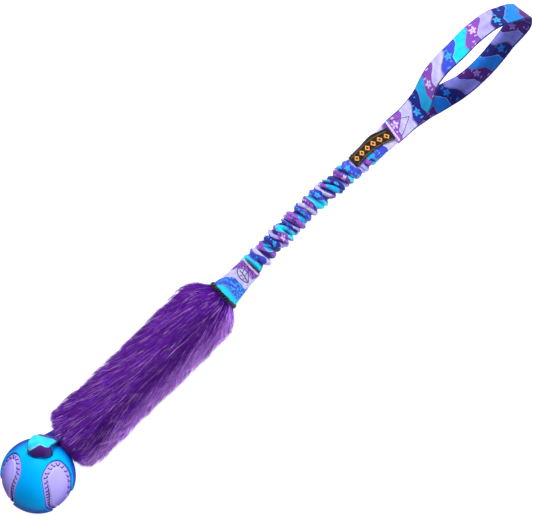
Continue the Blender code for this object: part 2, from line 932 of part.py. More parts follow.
half = smooth_curve([(x, s, 0.0) for x, s in HALF_LOOP], 2)
outline = [(p[0], p[1]) for p in half] + [(p[0], -p[1]) for p in reversed(half[:-1])]
path, widths = [], []
for x, s in outline:
    tilt, y, z = loop_frame_at(x)
    path.append(
        np.array((x, y + s * math.sin(tilt), z + s * math.cos(tilt)))
    )
    widths.append(np.array((0.0, math.cos(tilt), -math.sin(tilt))))
grip = ribbon("handle_loop", path, widths, WEB_W / 2, WEB_T / 2)
finish(grip, printed_webbing, loop_frame)
bpy.context.view_layer.update()
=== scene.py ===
"""Looks of the bungee tug toy: rubber ball with windows, webbing strap, plush pile, printed gathered sleeve, label and grip loop.

Lengths in the helpers are millimetres in the toy's own frame: X from the centre of the ball towards the grip, Z up from
the surface that the toy lies on. to_row() turns them into metres in the row frame.
"""

import json
import math

import bmesh
import bpy
import numpy as np
from mathutils import Matrix, Vector

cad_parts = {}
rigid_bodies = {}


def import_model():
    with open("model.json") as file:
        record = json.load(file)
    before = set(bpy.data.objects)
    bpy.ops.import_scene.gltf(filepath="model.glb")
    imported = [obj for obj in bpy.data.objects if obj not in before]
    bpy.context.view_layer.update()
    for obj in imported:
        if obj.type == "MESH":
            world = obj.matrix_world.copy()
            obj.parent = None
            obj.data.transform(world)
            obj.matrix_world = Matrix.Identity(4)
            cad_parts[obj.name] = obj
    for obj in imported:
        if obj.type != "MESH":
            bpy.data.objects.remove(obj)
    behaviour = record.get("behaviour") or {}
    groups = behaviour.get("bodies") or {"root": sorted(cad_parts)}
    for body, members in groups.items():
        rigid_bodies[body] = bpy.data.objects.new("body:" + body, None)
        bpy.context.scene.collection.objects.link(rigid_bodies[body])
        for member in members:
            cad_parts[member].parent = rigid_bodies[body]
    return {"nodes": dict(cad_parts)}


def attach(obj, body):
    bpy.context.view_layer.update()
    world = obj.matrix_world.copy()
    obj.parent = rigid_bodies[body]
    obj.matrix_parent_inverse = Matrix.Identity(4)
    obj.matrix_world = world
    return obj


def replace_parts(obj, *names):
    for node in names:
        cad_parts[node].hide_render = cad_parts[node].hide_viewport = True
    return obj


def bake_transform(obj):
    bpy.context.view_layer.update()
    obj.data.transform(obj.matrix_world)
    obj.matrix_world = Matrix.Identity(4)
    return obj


for old in list(bpy.data.objects):
    bpy.data.objects.remove(old, do_unlink=True)
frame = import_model()
bpy.context.view_layer.update()

# ---------------------------------------------------------------- dimensions of the part (mm)
BALL_R = 32.0
TIP_X = 566.5
SHIFT_X = (TIP_X - BALL_R) / 2
BALL_C = np.array((0.0, 0.0, BALL_R))
X_DIR, Y_DIR, Z_DIR = np.eye(3)


def to_row(points):
    p = np.array(points, float)
    p[..., 0] -= SHIFT_X
    return p * 0.001


def unit(v):
    v = np.array(v, float)
    return v / np.linalg.norm(v, axis=-1, keepdims=True)


def smooth(x, a, b):
    t = np.clip((np.asarray(x, float) - a) / (b - a), 0, 1)
    return t * t * (3 - 2 * t)


def table_at(x, knots, column):
    """Piecewise smooth value of a table's column at x."""
    xs = np.array([k[0] for k in knots], float)
    ys = np.array([k[column] for k in knots], float)
    d = np.gradient(ys, xs)
    x = np.clip(np.asarray(x, float), xs[0], xs[-1])
    i = np.clip(np.searchsorted(xs, x, side="right") - 1, 0, len(xs) - 2)
    h = xs[i + 1] - xs[i]
    t = (x - xs[i]) / h
    # Hermite with slopes limited, so that it does not overshoot
    step = (ys[i + 1] - ys[i]) / h
    lim = 3 * np.abs(step)
    m0 = np.clip(d[i], -lim, lim)
    m1 = np.clip(d[i + 1], -lim, lim)
    return (
        (2 * t**3 - 3 * t**2 + 1) * ys[i]
        + (t**3 - 2 * t**2 + t) * h * m0
        + (-2 * t**3 + 3 * t**2) * ys[i + 1]
        + (t**3 - t**2) * h * m1
    )


def catmull(points, per_span=8, cyclic=False):
    pts = np.array(points, float)
    n = len(pts)
    out = []
    for i in range(n if cyclic else n - 1):
        p1, p2 = pts[i], pts[(i + 1) % n]
        p0 = pts[i - 1] if (cyclic or i) else 2 * p1 - p2
        p3 = pts[(i + 2) % n] if (cyclic or i + 2 < n) else 2 * p2 - p1
        for k in range(per_span):
            t = k / per_span
            out.append(
                0.5
                * (
                    2 * p1
                    + (p2 - p0) * t
                    + (2 * p0 - 5 * p1 + 4 * p2 - p3) * t * t
                    + (3 * p1 - p0 - 3 * p2 + p3) * t**3
                )
            )
    if not cyclic:
        out.append(pts[-1])
    return np.array(out)


def resample(path, step, extra=None):
    """Points at even steps along a path, and the same for the rows of extra."""
    path = np.array(path, float)
    length = np.concatenate([[0], np.cumsum(np.linalg.norm(np.diff(path, axis=0), axis=1))])
    count = max(2, int(round(length[-1] / step)) + 1)
    s = np.linspace(0, length[-1], count)
    out = np.stack([np.interp(s, length, path[:, k]) for k in range(path.shape[1])], 1)
    if extra is None:
        return out, s
    extra = np.array(extra, float)
    return out, s, np.stack([np.interp(s, length, extra[:, k]) for k in range(extra.shape[1])], 1)


def superellipse(a, power):
    c, s = np.cos(a), np.sin(a)
    return (
        np.sign(c) * np.abs(c) ** (2 / power),
        np.sign(s) * np.abs(s) ** (2 / power),
    )


# ---------------------------------------------------------------- meshes
class Build:
    """Gathers surfaces, with a cloth coordinate in millimetres at each corner, into one mesh."""

    def __init__(self):
        self.verts, self.faces, self.uvs, self.count, self.mats = [], [], [], 0, []

    def add(self, verts, faces, uvs=None, mat=0):
        verts = np.array(verts, float).reshape(-1, 3)
        self.verts.append(verts)
        for f in faces:
            self.faces.append([int(k) + self.count for k in f])
            self.mats.append(mat)
        if uvs is None:
            uvs = [(0.0, 0.0)] * sum(len(f) for f in faces)
        self.uvs.extend(np.array(uvs, float).reshape(-1, 2).tolist())
        self.count += len(verts)
        return self

    def grid(self, P, UV=None, cyclic=False, caps=False, mat=0):
        P = np.array(P, float)
        m, n = P.shape[:2]
        i, j = np.meshgrid(
            np.arange(m - 1), np.arange(n if cyclic else n - 1), indexing="ij"
        )
        k = (j + 1) % n
        faces = np.stack([i * n + j, i * n + k, (i + 1) * n + k, (i + 1) * n + j], -1)
        faces = faces.reshape(-1, 4).tolist()
        if UV is None:
            uvs = np.zeros((len(faces) * 4, 2))
        else:
            UV = np.array(UV, float)
            uvs = np.stack([UV[i, j], UV[i, j + 1], UV[i + 1, j + 1], UV[i + 1, j]], 2)
            uvs = uvs.reshape(-1, 2)
        uvs = uvs.tolist()
        if caps:
            faces.append(list(range(n))[::-1])
            faces.append(list(range((m - 1) * n, m * n)))
            if UV is None:
                uvs += [(0.0, 0.0)] * (2 * n)
            else:
                uvs += UV[0, :n][::-1].tolist() + UV[-1, :n].tolist()
        return self.add(P.reshape(-1, 3), faces, uvs, mat)

    def mesh(self, name, materials, merge=0.0, shade=True, normals=True, sharp=None):
        mesh = bpy.data.meshes.new(name)
        verts = to_row(np.concatenate(self.verts))
        mesh.from_pydata(verts.tolist(), [], self.faces)
        layer = mesh.uv_layers.new(name="cloth")
        layer.data.foreach_set("uv", np.array(self.uvs, np.float32).ravel())
        mesh.polygons.foreach_set("material_index", np.array(self.mats, np.int32))
        bm = bmesh.new()
        bm.from_mesh(mesh)
        if merge:
            bmesh.ops.remove_doubles(bm, verts=bm.verts, dist=merge * 0.001)
            bmesh.ops.dissolve_degenerate(bm, edges=bm.edges, dist=1e-7)
        if normals:
            bmesh.ops.recalc_face_normals(bm, faces=bm.faces)
        bm.to_mesh(mesh)
        bm.free()
        for m in materials:
            mesh.materials.append(m)
        if shade:
            mesh.shade_smooth()
            if sharp:
                mesh.set_sharp_from_angle(angle=math.radians(sharp))
        obj = bpy.data.objects.new(name, mesh)
        bpy.context.scene.collection.objects.link(obj)
        return obj


def outward(obj, centre):
    """Turns every face so that it looks away from centre, a function of the vertices."""
    mesh = obj.data
    n = len(mesh.polygons)
    centres, normals = np.empty(n * 3), np.empty(n * 3)
    mesh.polygons.foreach_get("center", centres)
    mesh.polygons.foreach_get("normal", normals)
    centres, normals = centres.reshape(-1, 3), normals.reshape(-1, 3)
    if ((centres - centre(centres)) * normals).sum() < 0:
        mesh.flip_normals()
    return obj


def ribbon(build, path, widths, half_w, half_t, u0=0.0, mat=0, cross=22, bow=0.0, wavy=None):
    """Flat webbing along path with rounded edges. The cloth coordinate is (length along, place across)."""
    path = np.array(path, float)
    tangent = unit(np.gradient(path, axis=0))
    w = np.array(widths, float)
    w = unit(w - tangent * (w * tangent).sum(1, keepdims=True))
    t = np.cross(tangent, w)
    length = u0 + np.concatenate(
        [[0], np.cumsum(np.linalg.norm(np.diff(path, axis=0), axis=1))]
    )
    flat = np.linspace(-(half_w - half_t), half_w - half_t, cross)
    turn = np.radians((-60, -30, 0, 30, 60))
    shape = [(u, half_t, u) for u in flat]
    shape += [
        (half_w - half_t + half_t * math.cos(a), -half_t * math.sin(a), half_w)
        for a in turn
    ]
    shape += [(u, -half_t, u) for u in flat[::-1]]
    shape += [
        (-(half_w - half_t) - half_t * math.cos(a), half_t * math.sin(a), -half_w)
        for a in turn
    ]
    shape = np.array(shape)
    P = (
        path[:, None]
        + w[:, None] * shape[None, :, 0:1]
        + t[:, None]
        * (shape[None, :, 1:2] + bow * (1 - (shape[None, :, 0:1] / half_w) ** 2))
    )
    if wavy is not None:
        P = P + t[:, None] * wavy(length[:, None], shape[None, :, 0])[..., None]
    V = np.append(shape[:, 2], shape[0, 2])
    UV = np.stack(
        [np.repeat(length[:, None], len(V), 1), np.repeat(V[None], len(length), 0)], -1
    )
    build.grid(P, UV, cyclic=True, caps=True, mat=mat)
    return P, length


def tube(build, path, radius, sides=6, mat=0, closed=False):
    """A round strand along path, with its ends closed."""
    path = np.array(path, float)
    n = len(path)
    if closed:
        tangent = unit(np.roll(path, -1, 0) - np.roll(path, 1, 0))
    else:
        tangent = unit(np.gradient(path, axis=0))
    ref = np.where(np.abs(tangent[:, 2:3]) > 0.9, X_DIR, Z_DIR)
    side = unit(np.cross(tangent, ref))
    up = np.cross(side, tangent)
    a = np.linspace(0, 2 * np.pi, sides, endpoint=False)
    radius = np.broadcast_to(radius, (n,))
    P = path[:, None] + radius[:, None, None] * (
        side[:, None] * np.cos(a)[None, :, None] + up[:, None] * np.sin(a)[None, :, None]
    )
    if closed:
        P = np.concatenate([P, P[:1]])
        s = np.linspace(0, 1, n + 1)
    else:
        s = np.linspace(0, 1, n)
    UV = np.stack(
        [
            np.repeat(s[:, None] * n, sides + 1, 1),
            np.repeat(np.linspace(0, 1, sides + 1)[None], len(s), 0),
        ],
        -1,
    )
    build.grid(P, UV, cyclic=True, caps=not closed, mat=mat)


def stitch_run(build, path, normals, pitch, radius, lift=0.1, fill=0.78, mat=0):
    """A row of single stitches along path: each rises from the cloth, lies on it and goes in again."""
    out, s, nrm = resample(path, 0.1, normals)
    total = s[-1]
    count = max(1, int(round(total / pitch)))
    pitch = total / count
    for k in range(count):
        a, b = k * pitch + pitch * (1 - fill) / 2, (k + 1) * pitch - pitch * (1 - fill) / 2
        q = np.linspace(a, b, 7)
        p = np.stack([np.interp(q, s, out[:, c]) for c in range(3)], 1)
        n = unit(np.stack([np.interp(q, s, nrm[:, c]) for c in range(3)], 1))
        h = np.array((-1.2, 0.0, 0.55, 0.75, 0.55, 0.0, -1.2)) * radius + lift
        tube(build, p + n * h[:, None], radius * np.array((0.6, 0.9, 1, 1, 1, 0.9, 0.6)), 6, mat)


# ---------------------------------------------------------------- materials
class Shade:
    """A material made of nodes. Sockets or numbers go in, sockets come out."""

    def __init__(self, name, roughness=0.5, **plain):
        self.mat = bpy.data.materials.new(name)
        self.mat.use_nodes = True
        self.tree = self.mat.node_tree
        self.shader = self.tree.nodes["Principled BSDF"]
        self.shader.inputs["Roughness"].default_value = roughness
        for key, value in plain.items():
            self.shader.inputs[key.replace("_", " ")].default_value = value

    def node(self, kind, **settings):
        n = self.tree.nodes.new(kind)
        for key, value in settings.items():
            setattr(n, key, value)
        return n

    def put(self, socket, value):
        if isinstance(value, bpy.types.NodeSocket):
            self.tree.links.new(value, socket)
        elif value is not None:
            if isinstance(value, tuple) and len(value) == 3 and socket.type == "RGBA":
                value = (*value, 1.0)
            socket.default_value = value

    def math(self, op, a, b=None, c=None, clamp=False):
        n = self.node("ShaderNodeMath", operation=op, use_clamp=clamp)
        for slot, v in zip(n.inputs, (a, b, c)):
            self.put(slot, v)
        return n.outputs[0]

    def uv(self, name="cloth"):
        n = self.node("ShaderNodeUVMap", uv_map=name)
        s = self.node("ShaderNodeSeparateXYZ")
        self.tree.links.new(n.outputs[0], s.inputs[0])
        return s.outputs[0], s.outputs[1], n.outputs[0]

    def place(self):
        """The point on the object in the row frame, in metres, which moves with it."""
        return self.node("ShaderNodeTexCoord").outputs["Object"]

    def attribute(self, name):
        n = self.node("ShaderNodeAttribute", attribute_name=name)
        return n

    def noise(self, vector, scale, detail=2.0, rough=0.5, distortion=0.0):
        n = self.node("ShaderNodeTexNoise")
        self.put(n.inputs["Vector"], vector)
        n.inputs["Scale"].default_value = scale
        n.inputs["Detail"].default_value = detail
        n.inputs["Roughness"].default_value = rough
        n.inputs["Distortion"].default_value = distortion
        return n.outputs["Fac"]

    def combine(self, x, y, z=0.0):
        n = self.node("ShaderNodeCombineXYZ")
        for slot, v in zip(n.inputs, (x, y, z)):
            self.put(slot, v)
        return n.outputs[0]

    def ramp(self, fac, stops, mode="LINEAR"):
        n = self.node("ShaderNodeValToRGB")
        n.color_ramp.interpolation = mode
        el = n.color_ramp.elements
        while len(el) > 1:
            el.remove(el[-1])
        el[0].position, el[0].color = stops[0][0], (*stops[0][1], 1.0)
        for pos, colour in stops[1:]:
            e = el.new(pos)
            e.color = (*colour, 1.0)
        self.put(n.inputs[0], fac)
        return n.outputs[0]

    def mix(self, fac, a, b, mode="MIX"):
        n = self.node("ShaderNodeMix", data_type="RGBA", blend_type=mode)
        n.clamp_factor = True
        self.put(n.inputs[0], fac)
        self.put(n.inputs[6], a)
        self.put(n.inputs[7], b)
        return n.outputs[2]

    def span(self, value, a, b, lo=0.0, hi=1.0, kind="SMOOTHSTEP"):
        n = self.node("ShaderNodeMapRange", interpolation_type=kind)
        for slot, v in zip(n.inputs, (value, a, b, lo, hi)):
            self.put(slot, v)
        return n.outputs[0]

    def bump(self, height, strength, distance, under=None):
        n = self.node("ShaderNodeBump")
        n.inputs["Strength"].default_value = strength
        n.inputs["Distance"].default_value = distance
        self.put(n.inputs["Height"], height)
        if under is not None:
            self.put(n.inputs["Normal"], under)
        return n.outputs[0]

    def done(self, colour=None, roughness=None, normal=None):
        if colour is not None:
            self.put(self.shader.inputs["Base Color"], colour)
        if roughness is not None:
            self.put(self.shader.inputs["Roughness"], roughness)
        if normal is not None:
            self.put(self.shader.inputs["Normal"], normal)
        return self.mat


NAVY = (0.014, 0.018, 0.25)
INK = (0.006, 0.008, 0.13)
ROYAL = (0.045, 0.070, 0.60)
CYAN = (0.0, 0.44, 0.86)
BRIGHT = (0.0, 0.68, 0.95)
AZURE = (0.0, 0.22, 0.76)
LILAC = (0.42, 0.38, 0.86)
PALE = (0.58, 0.54, 0.88)
PERI = (0.25, 0.25, 0.74)
PLUM = (0.070, 0.010, 0.155)
VIOLET = (0.23, 0.06, 0.44)
ORCHID = (0.30, 0.09, 0.54)
SKY = (0.03, 0.42, 0.92)
ROSE = (0.70, 0.52, 0.88)
MAUVE = (0.34, 0.20, 0.62)


def printed(name, band, colours, first=0.0, slant=0.0, zig=2.0, half_wave=9.5, phase=6.4, roughness=0.55, weave=0.95, edge=None, painted_fold_shade=False, sheen=0.05, motif=True, line=1.0, mottle=False):
    """Cloth printed with slanted zigzag bands, one colour after another, with a small blossom on the dark ones."""
    s = Shade(name, roughness, Sheen_Weight=sheen, Sheen_Roughness=0.4)
    s.shader.inputs["Specular IOR Level"].default_value = 0.14
    u, v, uv = s.uv()
    wob = s.noise(uv, 0.11, 1.0)
    wob2 = s.noise(uv, 0.55, 1.0)

    def saw_at(w):
        folded = s.math("PINGPONG", s.math("ADD", w, 200.0 * half_wave - phase), half_wave)
        return s.span(folded, half_wave * 0.08, half_wave * 0.92, -zig, zig, kind="LINEAR")

    saw = saw_at(v)
    t = s.math("ADD", u, saw)
    t = s.math("ADD", t, s.math("MULTIPLY", v, slant))
    t = s.math("ADD", t, s.math("MULTIPLY", s.math("SUBTRACT", wob, 0.5), 3.2))
    t = s.math("ADD", t, s.math("MULTIPLY", s.math("SUBTRACT", wob2, 0.5), 1.1))
    n = len(colours)
    t = s.math("ADD", s.math("DIVIDE", s.math("SUBTRACT", t, first), band), 4.0 * n)
    index = s.math("FLOOR", t)
    f = s.math("FRACT", t)
    pick = s.math("FRACT", s.math("DIVIDE", s.math("ADD", index, 0.5), float(n)))
    stops = [(k / n, c[0]) for k, c in enumerate(colours)]
    colour = s.ramp(pick, stops, "CONSTANT")
    # cloudy tone inside each band
    shade = s.noise(uv, 0.16, 3.0)
    colour = s.mix(s.span(shade, 0.30, 0.75, 0.0, 0.32), colour, (0.03, 0.02, 0.34))
    # a deep line before each border and a pale one after it
    dark_line = s.span(s.math("MULTIPLY", s.math("SUBTRACT", 1.0, f), band), 0.25, 0.95, 0.55 * line, 0.0)
    colour = s.mix(dark_line, colour, (0.02, 0.01, 0.20))
    pale_line = s.span(s.math("MULTIPLY", f, band), 0.35, 0.95, 0.30 * line, 0.0)
    colour = s.mix(pale_line, colour, (0.62, 0.60, 0.98))
    if motif:
        side = s.math("SUBTRACT", s.math("MULTIPLY", s.math("FLOORED_MODULO", s.math("MULTIPLY", index, 0.618), 1.0), 7.0), 3.2)
        q = s.math("SUBTRACT", s.math("FLOORED_MODULO", s.math("ADD", s.math("SUBTRACT", v, side), 200 * 15.0 + 7.5), 15.0), 7.5)
        middle = s.math("SUBTRACT", v, q)
        lean = s.math("ADD", s.math("MULTIPLY", q, slant), s.math("SUBTRACT", saw, saw_at(middle)))
        cell = s.math("SUBTRACT", s.math("MULTIPLY", s.math("SUBTRACT", f, 0.5), band), lean)

        def blossom(dx, dy, size, petals, turn, deep):
            x, y = s.math("SUBTRACT", cell, dx), s.math("SUBTRACT", q, dy)
            r = s.math("SQRT", s.math("ADD", s.math("MULTIPLY", x, x), s.math("MULTIPLY", y, y)))
            ang = s.math("ADD", s.math("MULTIPLY", s.math("ARCTAN2", y, x), float(petals)), turn)
            rim = s.math("MULTIPLY", s.math("ADD", s.math("MULTIPLY", s.math("COSINE", ang), deep), 1.0 - deep), size)
            return s.span(s.math("SUBTRACT", r, rim), -0.12, 0.14, 1.0, 0.0), r

        flower, r = blossom(0.0, 0.0, band * 0.27, 5, 0.7, 0.24)
        heart = s.span(r, 0.50, 0.72, 0.15, 1.0)
        flower = s.math("MULTIPLY", flower, heart)
        for dx, dy, size in ((band * 0.10, band * 0.40, band * 0.10), (-band * 0.06, -band * 0.42, band * 0.09)):
            small, _ = blossom(dx, dy, size, 2, 0.9, 0.30)
            flower = s.math("MAXIMUM", flower, small)
        if mottle:
            flower = s.math("MAXIMUM", s.span(s.noise(uv, 0.62, 3.0), 0.50, 0.56), s.math("MULTIPLY", flower, 0.0))
        shown = s.ramp(pick, [(k / n, c[1] or (0, 0, 0)) for k, c in enumerate(colours)], "CONSTANT")
        on = s.ramp(pick, [(k / n, (1, 1, 1) if c[1] else (0, 0, 0)) for k, c in enumerate(colours)], "CONSTANT")
        mask = s.math("MULTIPLY", flower, on)
        colour = s.mix(s.math("MULTIPLY", mask, 0.88), colour, shown)
    if edge:
        rim = s.span(s.math("ABSOLUTE", v), edge - 1.0, edge - 0.35, 0.0, 0.9)
        colour = s.mix(rim, colour, (0.012, 0.008, 0.12))
    # weave: small ribs that step over each other
    ribs = s.math("SINE", s.math("MULTIPLY", u, 2 * math.pi / weave))
    cross = s.math("SINE", s.math("MULTIPLY", v, 2 * math.pi / weave))
    cloth = s.math("MULTIPLY", ribs, cross)
    thread = s.math("SINE", s.math("MULTIPLY", s.math("ADD", u, v), 4 * math.pi / weave))
    cloth = s.math("ADD", cloth, s.math("MULTIPLY", thread, 0.3))
    colour = s.mix(s.span(cloth, -1.1, 0.9, 0.22, 0.0), colour, (0.01, 0.01, 0.14))
    if painted_fold_shade:
        # painted shade: the colour goes dark navy towards the valleys of the gathers, where the folds shade each other
        deep = s.attribute("fold").outputs["Fac"]
        colour = s.mix(s.span(deep, 0.20, 0.66, 0.95, 0.0), colour, (0.014, 0.008, 0.17))
    rough = s.span(cloth, -1.2, 1.2, roughness + 0.12, roughness - 0.06)
    return s.done(colour, rough, s.bump(cloth, 0.32, 0.00022))


def rubber(name, colour, darker, roughness, coat=0.0, turned=None, rim=False):
    s = Shade(name, roughness, Coat_Weight=coat, Coat_Roughness=0.22)
    s.shader.inputs["Specular IOR Level"].default_value = 0.02
    at = s.place()
    big = s.noise(at, 30.0, 2.0)
    fine = s.noise(at, 2600.0, 2.0)
    tone = s.mix(s.span(big, 0.3, 0.75), colour, darker)
    if turned:
        # painted shade: the colour goes over to the darker turned colour where the surface turns away from the view,
        # towards the silhouette
        facing = s.node("ShaderNodeLayerWeight")
        facing.inputs["Blend"].default_value = 0.5
        tone = s.mix(s.span(facing.outputs["Facing"], 0.28, 0.76, 0.0, 1.0), tone, turned)
    if rim:
        # painted shade: a dark line just inside each window border, where the skin's lip shades the groove; painted
        # highlight: a pale line along the ridge of the core
        gap = s.attribute("rim").outputs["Fac"]
        tone = s.mix(s.span(gap, 0.25, 1.1, 0.80, 0.0), tone, (0.05, 0.03, 0.26))
        tone = s.mix(s.span(gap, 6.1, 6.5, 0.0, 1.0), tone, s.mix(s.span(gap, 6.9, 7.6, 0.42, 0.0), tone, (0.62, 0.56, 0.98)))
    rough = s.span(fine, 0.3, 0.7, roughness - 0.04, roughness + 0.06)
    return s.done(tone, rough, s.bump(fine, 0.10, 0.00012))


def thread_finish(name, colour, other, roughness=0.5):
    s = Shade(name, roughness, Sheen_Weight=0.3)
    u, v, uv = s.uv()
    twist = s.math("SINE", s.math("MULTIPLY", s.math("ADD", u, s.math("MULTIPLY", v, 1.0)), 2 * math.pi * 1.0))
    tone = s.mix(s.span(twist, -1.0, 1.0), colour, other)
    return s.done(tone, None, s.bump(twist, 0.5, 0.0001))


# turned is a painted shade colour for the silhouettes; rim adds the core's painted shade and painted highlight by the
# window borders
blue_rubber = rubber("skin_rubber_blue", (0.0, 0.43, 0.98), (0.0, 0.36, 0.92), 0.45, 0.0, turned=(0.0, 0.030, 0.30))
lilac_rubber = rubber("core_rubber_lilac", (0.40, 0.35, 0.88), (0.35, 0.30, 0.83), 0.5, 0.0, turned=(0.15, 0.10, 0.48), rim=True)
mark_rubber = rubber("core_marks_dark", (0.035, 0.014, 0.15), (0.05, 0.02, 0.19), 0.5)
dark_thread = thread_finish("thread_dark", (0.02, 0.02, 0.08), (0.05, 0.05, 0.14))
black_thread = thread_finish("thread_black", (0.004, 0.004, 0.006), (0.014, 0.013, 0.018))
pale_thread = thread_finish("thread_pale", (0.97, 0.90, 0.98), (0.84, 0.62, 0.90))
webbing_print = printed(
    "webbing_print", 14.0,
    [
        (CYAN, None), (ORCHID, ROSE), (PALE, None), (NAVY, SKY), (CYAN, None), (VIOLET, ROSE), (PALE, None), (ROYAL, SKY),
        (BRIGHT, None), (VIOLET, ROSE), (LILAC, None), (INK, SKY), (AZURE, None), (PLUM, None), (PLUM, MAUVE), (PERI, None),
        (INK, AZURE), (AZURE, None), (PLUM, MAUVE), (PERI, None), (INK, AZURE), (AZURE, None), (PLUM, MAUVE), (PERI, None),
        (INK, AZURE), (AZURE, None),
    ],
    first=-17.6, slant=-0.60, edge=10.8,
)
SLEEVE_COLOURS = [
    (BRIGHT, None), (ROYAL, SKY), (PALE, None), (ORCHID, PLUM), (CYAN, None), (NAVY, SKY), (LILAC, None), (VIOLET, ROSE),
    (BRIGHT, None), (ROYAL, SKY), (LILAC, None), (ORCHID, PLUM), (CYAN, None), (ROYAL, SKY), (PALE, None), (VIOLET, PALE),
]
flat_print = printed(
    "sleeve_print_flat", 11.0, SLEEVE_COLOURS, first=210.5, slant=-0.42, zig=2.3, half_wave=11.0, phase=-2.0, roughness=0.42,
    weave=0.7, painted_fold_shade=False, sheen=0.06, mottle=True,
)


def binding_finish():
    s = Shade("binding_black", 0.85)
    s.shader.inputs["Specular IOR Level"].default_value = 0.12
    at = s.place()
    n = s.noise(at, 900.0, 2.0)
    return s.done(
        s.mix(n, (0.002, 0.002, 0.003), (0.010, 0.009, 0.013)), None, s.bump(n, 0.5, 0.0003)
    )


binding = binding_finish()

# ---------------------------------------------------------------- camera, floor and light
RIGHT, UP = Vector((0.7206, -0.6934, 0)).normalized(), Vector((0.6934, 0.7206, 0)).normalized()
camera_data = bpy.data.cameras.new("camera")
camera = bpy.data.objects.new("camera", camera_data)
bpy.context.scene.collection.objects.link(camera)
FIELD, AT_Z, DISTANCE = 0.4477, 0.028, 8.0
camera_data.sensor_width = 36.0
camera_data.lens = 36.0 * (DISTANCE - AT_Z) / FIELD
camera_data.clip_end = 30.0
turn = Matrix((RIGHT, UP, RIGHT.cross(UP))).transposed().to_4x4()
camera.matrix_world = Matrix.Translation((-0.00225, -0.0014, DISTANCE)) @ turn
bpy.context.scene.camera = camera

floor_mesh = bpy.data.meshes.new("floor")
bm = bmesh.new()
bmesh.ops.create_grid(bm, x_segments=2, y_segments=2, size=3.0)
bm.to_mesh(floor_mesh)
bm.free()
floor = bpy.data.objects.new("floor", floor_mesh)
floor.location = (0, 0, -0.0002)
bpy.context.scene.collection.objects.link(floor)
shade = Shade("floor_white", 0.9)
shade.shader.inputs["Emission Color"].default_value = (1.0, 1.0, 1.0, 1.0)
shade.shader.inputs["Emission Strength"].default_value = 0.70
floor_mesh.materials.append(
    shade.done(shade.mix(shade.noise(shade.place(), 1.2, 2.0), (0.70, 0.70, 0.705), (0.72, 0.72, 0.72)))
)

world = bpy.data.worlds.new("studio")
bpy.context.scene.world = world
world.use_nodes = True
world.node_tree.nodes["Background"].inputs["Color"].default_value = (1.0, 1.0, 1.0, 1)
world.node_tree.nodes["Background"].inputs["Strength"].default_value = 0.17


def area(name, at, size, power, target=(0, 0, 0)):
    data = bpy.data.lights.new(name, "AREA")
    data.shape, data.size, data.energy = "DISK", size, power
    obj = bpy.data.objects.new(name, data)
    obj.location = at
    obj.rotation_mode = "QUATERNION"
    obj.rotation_quaternion = (Vector(target) - Vector(at)).to_track_quat("-Z", "Y")
    bpy.context.scene.collection.objects.link(obj)
    return obj


area("key", UP * 1.5 - RIGHT * 0.25 + Vector((0, 0, 1.5)), 0.8, 54.0)
area("rim", RIGHT * 1.7 - UP * 0.55 + Vector((0, 0, 0.75)), 0.7, 22.0)
area("top", Vector((0, 0, 2.4)), 0.9, 13.0)
bpy.context.scene.view_settings.view_transform = "Standard"
bpy.context.scene.view_settings.look = "None"

# ---------------------------------------------------------------- the ball
yaw, pitch = math.radians(37.2), math.radians(3.3)
POLE = unit((math.cos(pitch) * math.cos(yaw), math.cos(pitch) * math.sin(yaw), math.sin(pitch)))
UPWARD = np.array((-0.145, 0.097, 0.984))
UPWARD = unit(UPWARD - POLE * (UPWARD @ POLE))
SIDE = np.cross(POLE, UPWARD)


def ball_point(theta, phi, radius):
    t, p = np.radians(theta), np.radians(phi)
    t, p, radius = np.broadcast_arrays(t, p, np.asarray(radius, float))
    d = (
        POLE * np.cos(t)[..., None]
        + (UPWARD * np.cos(p)[..., None] + SIDE * np.sin(p)[..., None]) * np.sin(t)[..., None]
    )
    return BALL_C + d * radius[..., None]


# The border of a pair of windows, as (angle from the pole, angle round it from the spike between the two).
WIDE = [
    (57.0, 5.5), (58.8, 11.5), (62.3, 17.2), (68.5, 22.4), (77.0, 26.3), (85.0, 28.2), (93.0, 27.2), (101.0, 24.6),
    (109.0, 21.4), (116.0, 18.6), (123.0, 15.2), (130.0, 10.8), (136.0, 6.2), (140.0, 1.8),
]
NARROW = [
    (57.0, 5.5), (59.2, 10.8), (62.6, 15.6), (67.6, 21.4), (73.0, 25.8), (81.0, 30.9), (89.0, 34.0), (96.0, 36.4),
    (101.0, 39.8), (103.4, 42.8),
]
FOOT = [(143.0, 41.0), (145.2, 33.0), (146.8, 21.0), (147.7, 9.0)]
PER = 8
spike = [(56.2, 45.0)] + [(t, 45.0 - w) for t, w in NARROW]
outer_side = [(t, 45.0 + w) for t, w in WIDE] + FOOT
knots = [(t, -d) for t, d in spike] + [(104.4, 0.0)] + spike[::-1] + outer_side + [(148.0, 0.0)] + [(t, -d) for t, d in outer_side[::-1]]
outline = catmull(knots, PER, cyclic=True)
N_SPIKE, N_SIDE = PER * len(spike), PER * (len(outer_side) + 1)
spike_side = outline[N_SPIKE : 2 * N_SPIKE + 1][::-1]  # from the top of the window down to the tip of the spike
broad_side = outline[2 * N_SPIKE : 2 * N_SPIKE + N_SIDE + 1]  # from the top of the window down to the foot's middle


def border_distance(points, side):
    """Distance in mm from points on the ball to the border of the nearest window; side limits it to one pair."""
    flat = unit(points.reshape(-1, 3) - BALL_C)
    best = np.full(len(flat), -1.0)
    for middle in (90.0, 270.0) if side is None else (side,):
        line = unit(ball_point(outline[:, 0], middle + outline[:, 1], BALL_R) - BALL_C)
        for start in range(0, len(flat), 4000):
            dots = (flat[start : start + 4000] @ line.T).max(1)
            best[start : start + 4000] = np.maximum(best[start : start + 4000], dots)
    return (np.arccos(np.clip(best, -1, 1)) * BALL_R).reshape(points.shape[:-1])


